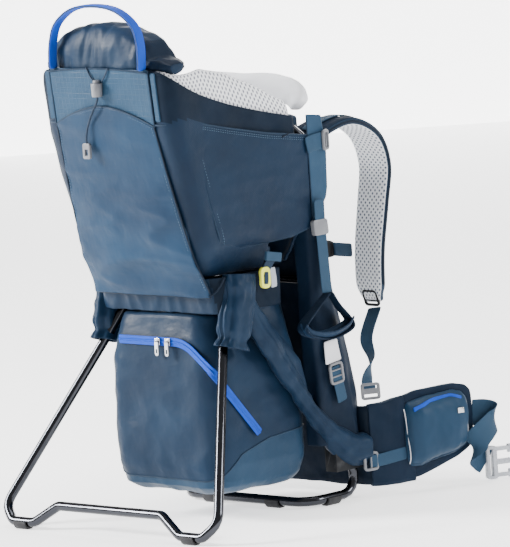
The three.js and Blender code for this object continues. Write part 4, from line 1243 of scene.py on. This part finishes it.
def hip_pocket(side, mark):
    """The zipped pocket: a soft box on the wing with a domed face and a bound rear edge."""
    body = f"wing_{side}"

    def face(along, v, out=0.0):
        low, high, depth = along_table(POCKET_STATIONS, along)
        lift = depth * (1 - abs(2 * v - 1) ** 4) ** 0.8
        return wing_at(mark, along, 6.2 + lift + out, mix(low, high, v))

    rows = [[face(mix(23, 127, i / 40), j / 32) for i in range(41)] for j in range(33)]
    pocket = surface(f"hip_pocket_cloth_{side}", body, PALE_CLOTH, rows, thick=1.6,
                     hides=[f"hip_pocket_{side}"])
    crumple(pocket, [(1.2, 36, (1, 1, 1), False), (0.7, 20, (1, 1, 1.6), True)], seed=95 + mark)
    arch = [face(along, mix(0.86, 0.92, smoothstep(along, 34, 70)) - 0.06 * smoothstep(along, 92, 112), 0.7)
            for along in (mix(34, 112, i / 40) for i in range(41))]
    strap(f"hip_zip_{side}", body, BLUE_TAPE, arch, 10, 1.8, Z_AXIS)
    edge = [face(mix(24, 33, (i / 24) ** 2 * 0.4), 1 - i / 24, 1.0) for i in range(25)]
    piping(f"hip_piping_{side}", body, SOFT_PALE, edge, 0.9)
    foot = [face(mix(30, 122, i / 30), 0.04, 0.8) for i in range(31)]
    piping(f"hip_foot_seam_{side}", body, BINDING, foot, 1.3)


LOOSE_LOOP = [(193, 262, 100), (199, 278, 99), (207, 288, 95), (215, 284, 88), (217, 269, 79), (214, 254, 68),
              (208, 247, 56), (203, 250, 45), (203, 262, 35), (206.5, 271, 28)]


def belt_ends():
    loose = spline(LOOSE_LOOP, 90)
    strap("belt_tape_right", "wing_right", STEEL_TAPE, loose, 38, 1.6, Z_AXIS,
          hides=["belt_webbing_right"])
    tight = spline([(-194.5, 264.5, 98), (-197.5, 267.5, 98), (-200.8, 269.6, 98)], 12)
    strap("belt_tape_left", "wing_left", STEEL_TAPE, tight, 38, 1.6, Z_AXIS,
          hides=["belt_webbing_left"])


# ---- stirrups -----------------------------------------------------------------------------

def stirrup(side, mark):
    lock, fork = Vector((mark * 144, 26, 399)), Vector((mark * 152, 24, 306))
    way = (fork - lock).normalized()
    tape = spline([lock - way * 40 + X_AXIS * 5 * mark, lock + X_AXIS * 2 * mark, fork], 24)
    strap(f"stirrup_tape_{side}", f"stirrup_{side}", STEEL_TAPE, tape, 20, 1.5, Y_AXIS,
          hides=[f"stirrup_{side}"])
    loop = [(24, 306), (-8, 284), (-30, 266), (-22, 252), (16, 242), (54, 248), (66, 258), (44, 284),
            (28, 306)]
    path = spline([Vector((mark * 153, y, z)) for y, z in loop], 70)
    rows = carried(path, lambda t: oval(14 + 10 * math.sin(math.pi * t) ** 2, 3, 0.4, 18), X_AXIS)
    sole = [Vector((mark * 153, y, z)) for y, z in ((-32, 262), (-20, 250), (16, 244), (50, 250), (66, 260))]
    boat = []
    for i, p in enumerate(spline(sole, 30)):
        half = 5 + 7 * math.sin(math.pi * clamp(i / 29, 0.02, 0.98)) ** 0.7
        shares = [mix(-1, 1, j / 12) for j in range(13)]
        boat.append([p + X_AXIS * (half * a + 3 * mark) + Z_AXIS * 9 * a * a for a in shares])
    surface(f"stirrup_sole_{side}", f"stirrup_{side}", STEEL_CLOTH, boat, thick=3)
    foot = surface(f"stirrup_loop_{side}", f"stirrup_{side}", NAVY_CLOTH, rows, wrap=True,
                   caps=True)
    crumple(foot, [(1.0, 24, (1, 1, 1), False)], seed=99 + mark)


def side_entry():
    """The side entry's webbing loop, its adjuster and the pale mesh behind the hook."""
    low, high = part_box("side_hook")
    middle = (Vector(low) + Vector(high)) / 2 / MM
    hang = spline(near(middle, [(1, 20, 30), (1, 10, 20), (0, 1, 9)]), 12)
    strap("hook_tape", "carrier", BINDING, hang, 15, 1.8, Y_AXIS)
    top = [middle + Vector((2, y, 31 - 0.2 * y)) for y in (2, 12, 22, 32)]
    strap("hook_adjuster", "carrier", STEEL_TAPE, spline(top, 16), 13, 5, Z_AXIS)
    tab = spline(near(middle, [(-1, 16, 12), (-1, 18, -4), (-2, 19, -16)]), 12)
    strap("hook_tab", "carrier", PALE_MESH_PLAIN, tab, 11, 2, Y_AXIS)
    core = spline(near(middle, [(2, 1, 8), (2.4, 0, -2), (2, -1, -9)]), 10)
    strap("hook_core", "carrier", BINDING, core, 8, 3, Y_AXIS)


def lift_straps(side, mark):
    """The short strap at the top of each side panel, with its adjuster, toward the shoulder strap."""
    path = spline(on_side(mark, [(140, 34, 520), (138, 52, 520), (120, 70, 521), (96, 92, 523)]), 30)
    strap(f"lift_tape_{side}", "carrier", STEEL_TAPE, path, 22, 1.8, Z_AXIS)
    ladder(f"lift_buckle_{side}", "carrier", GREY_PLASTIC, Vector((mark * 141, 53, 520)), Vector((0, 0, 1)),
           Vector((-mark * 0.4, 1, 0)), 30, 20, bars=2)
    base = spline(on_side(mark, [(140.4, 14, 516), (141, 30, 519), (141, 46, 520)]), 12)
    strap(f"lift_anchor_{side}", "carrier", STEEL_TAPE, base, 24, 2.2, Z_AXIS)


def lumbar_lock(side, mark):
    """The pale stiff tongue beside the lumbar pad and the ladder lock sewn under it."""
    path = spline(on_side(mark, [(139, 37, 236), (139.5, 38, 220), (139.5, 40, 204)]), 16)
    rows = carried(path, lambda t: oval(26 + 6 * t, 2.4, 0.3, 20), Y_AXIS)
    surface(f"lumbar_tongue_{side}", "carrier", SOFT_PALE, rows, wrap=True, caps=True)
    ladder(f"lumbar_lock_{side}", "carrier", GREY_PLASTIC, Vector((mark * 141, 43, 188)), Vector((0, 1, 0.1)),
           Vector((0, 0.15, -1)), 28, 32, bars=3)
    tail = spline(on_side(mark, [(139.5, 42, 198), (140.5, 46, 176), (139, 54, 146)]), 16)
    strap(f"lumbar_tape_{side}", "carrier", STEEL_TAPE, tail, 19, 1.8, Y_AXIS)


def belt_pull(side, mark):
    """The thin adjuster across the hip belt: a tri-glide and its webbing."""
    ladder(f"belt_glide_{side}", "carrier", GREY_PLASTIC, Vector((mark * 150, 92, 54)), Vector((0, 0, 1)),
           Vector((mark * 0.2, 1, 0)), 28, 26, bars=2)
    path = spline(on_side(mark, [(149, 90, 54), (154.5, 106, 54), (160, 126, 56), (167, 152, 59)]), 40)
    pull = strap(f"belt_pull_{side}", None, STEEL_TAPE, path, 18, 1.8, Z_AXIS)
    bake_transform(pull)


# ---- hard pieces that the frame already holds ---------------------------------------------

FINISHES = {
    TUBE_METAL: ["upright_tube", "skid_tube", "brace_tube", "seat_frame", "kickstand_tube"],
    BLACK_RUBBER: ["skid_foot_side_right", "skid_foot_side_left", "skid_foot_rear_right",
                   "skid_foot_rear_left", "kickstand_foot_right", "kickstand_foot_left"],
    BLACK_PLASTIC: ["frame_lug_right", "frame_lug_left", "pivot_bracket_right", "pivot_bracket_left"],
    GREY_PLASTIC: ["cord_lock", "cord_lock_button", "pull_tab", "belt_lock_right", "belt_lock_left",
                   "stirrup_lock_right", "stirrup_lock_left"],
    CLEAR_PLASTIC: ["buckle_prongs", "buckle_socket"],
    YELLOW_PLASTIC: ["side_hook"],
    STEEL_METAL: ["zip_slider_right", "zip_slider_left", "zip_pull_right", "zip_pull_left",
                  "pocket_slider_right", "pocket_slider_left"],
}
EDGE_WIDTH = {TUBE_METAL: 0.4, BLACK_RUBBER: 0.6}


def finish_hard_pieces():
    for look, names in FINISHES.items():
        for name in names:
            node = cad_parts[name]
            node.data.materials.clear()
            node.data.materials.append(look)
            for polygon in node.data.polygons:
                polygon.use_smooth = True
            weld = node.modifiers.new("weld", "WELD")
            weld.merge_threshold = 0.00002
            edge = node.modifiers.new("edges", "BEVEL")
            edge.width = EDGE_WIDTH.get(look, 0.5) * MM
            edge.segments = 2
            edge.limit_method = "ANGLE"
            edge.angle_limit = math.radians(50)
            edge.harden_normals = True


# ---- floor and light ----------------------------------------------------------------------

def lit_sheet(name, corners, glow, sink=0.0):
    """A white stage sheet that gives off light of its own; corners are in metres."""
    data = bpy.data.meshes.new(name)
    data.from_pydata(corners, [], [(0, 1, 2, 3)])
    look = Look(f"{name}_look", (0.97, 0.97, 0.97), 0.9)
    look.set(look.shader, "Emission Color", (1, 1, 1, 1))
    look.set(look.shader, "Emission Strength", glow)
    data.materials.append(look.material)
    sheet = bpy.data.objects.new(name, data)
    sheet.location.z = -sink
    bpy.context.collection.objects.link(sheet)


def studio():
    reach = 30
    floor = [(-reach, -reach, 0), (reach, -reach, 0), (reach, reach, 0), (-reach, reach, 0)]
    lit_sheet("floor", floor, 1.3, sink=0.0003)
    lit_sheet("backdrop", [(-4, 3, -1), (-1, 6, -1), (-1, 6, 3), (-4, 3, 3)], 3.0)
    world = bpy.data.worlds.new("studio")
    world.use_nodes = True
    world.node_tree.nodes["Background"].inputs["Color"].default_value = (1, 1, 1, 1)
    world.node_tree.nodes["Background"].inputs["Strength"].default_value = 0.5
    bpy.context.scene.world = world
    lamps = [
        # place, size, watts
        ((-3.0, -2.6, 2.2), 1.2, 520),
        ((3.2, 1.6, 1.9), 1.0, 100),
        ((0.2, 0.6, 3.6), 2.0, 90),
    ]
    for index, (place, size, watts) in enumerate(lamps):
        data = bpy.data.lights.new(f"softbox_{index}", "AREA")
        data.size = size
        data.energy = watts
        lamp = bpy.data.objects.new(f"softbox_{index}", data)
        lamp.location = place
        lamp.rotation_euler = (Vector(place) - Vector((0, 0, 0.35))).to_track_quat("Z", "Y").to_euler()
        bpy.context.collection.objects.link(lamp)


cabin_shell()
liner()
child_seat()
child_harness()
chin_pad()
headrest_pouch()
carry_handle()
rear_pocket()
drawcord()
waist_band()
storage_bag()
storage_zip()
back_panel()
lumbar_pad()
sternum_strap()
hip_belt()
belt_ends()
for SIDE, MARK in SIDES:
    side_panels(SIDE, MARK)
    shoulder_strap(SIDE, MARK)
    strap_webbing(SIDE, MARK)
    belt_bridge(SIDE, MARK)
    hip_wing(SIDE, MARK)
    hip_pocket(SIDE, MARK)
    stirrup(SIDE, MARK)
    lift_straps(SIDE, MARK)
    lumbar_lock(SIDE, MARK)
    belt_pull(SIDE, MARK)
side_entry()
finish_hard_pieces()
studio()
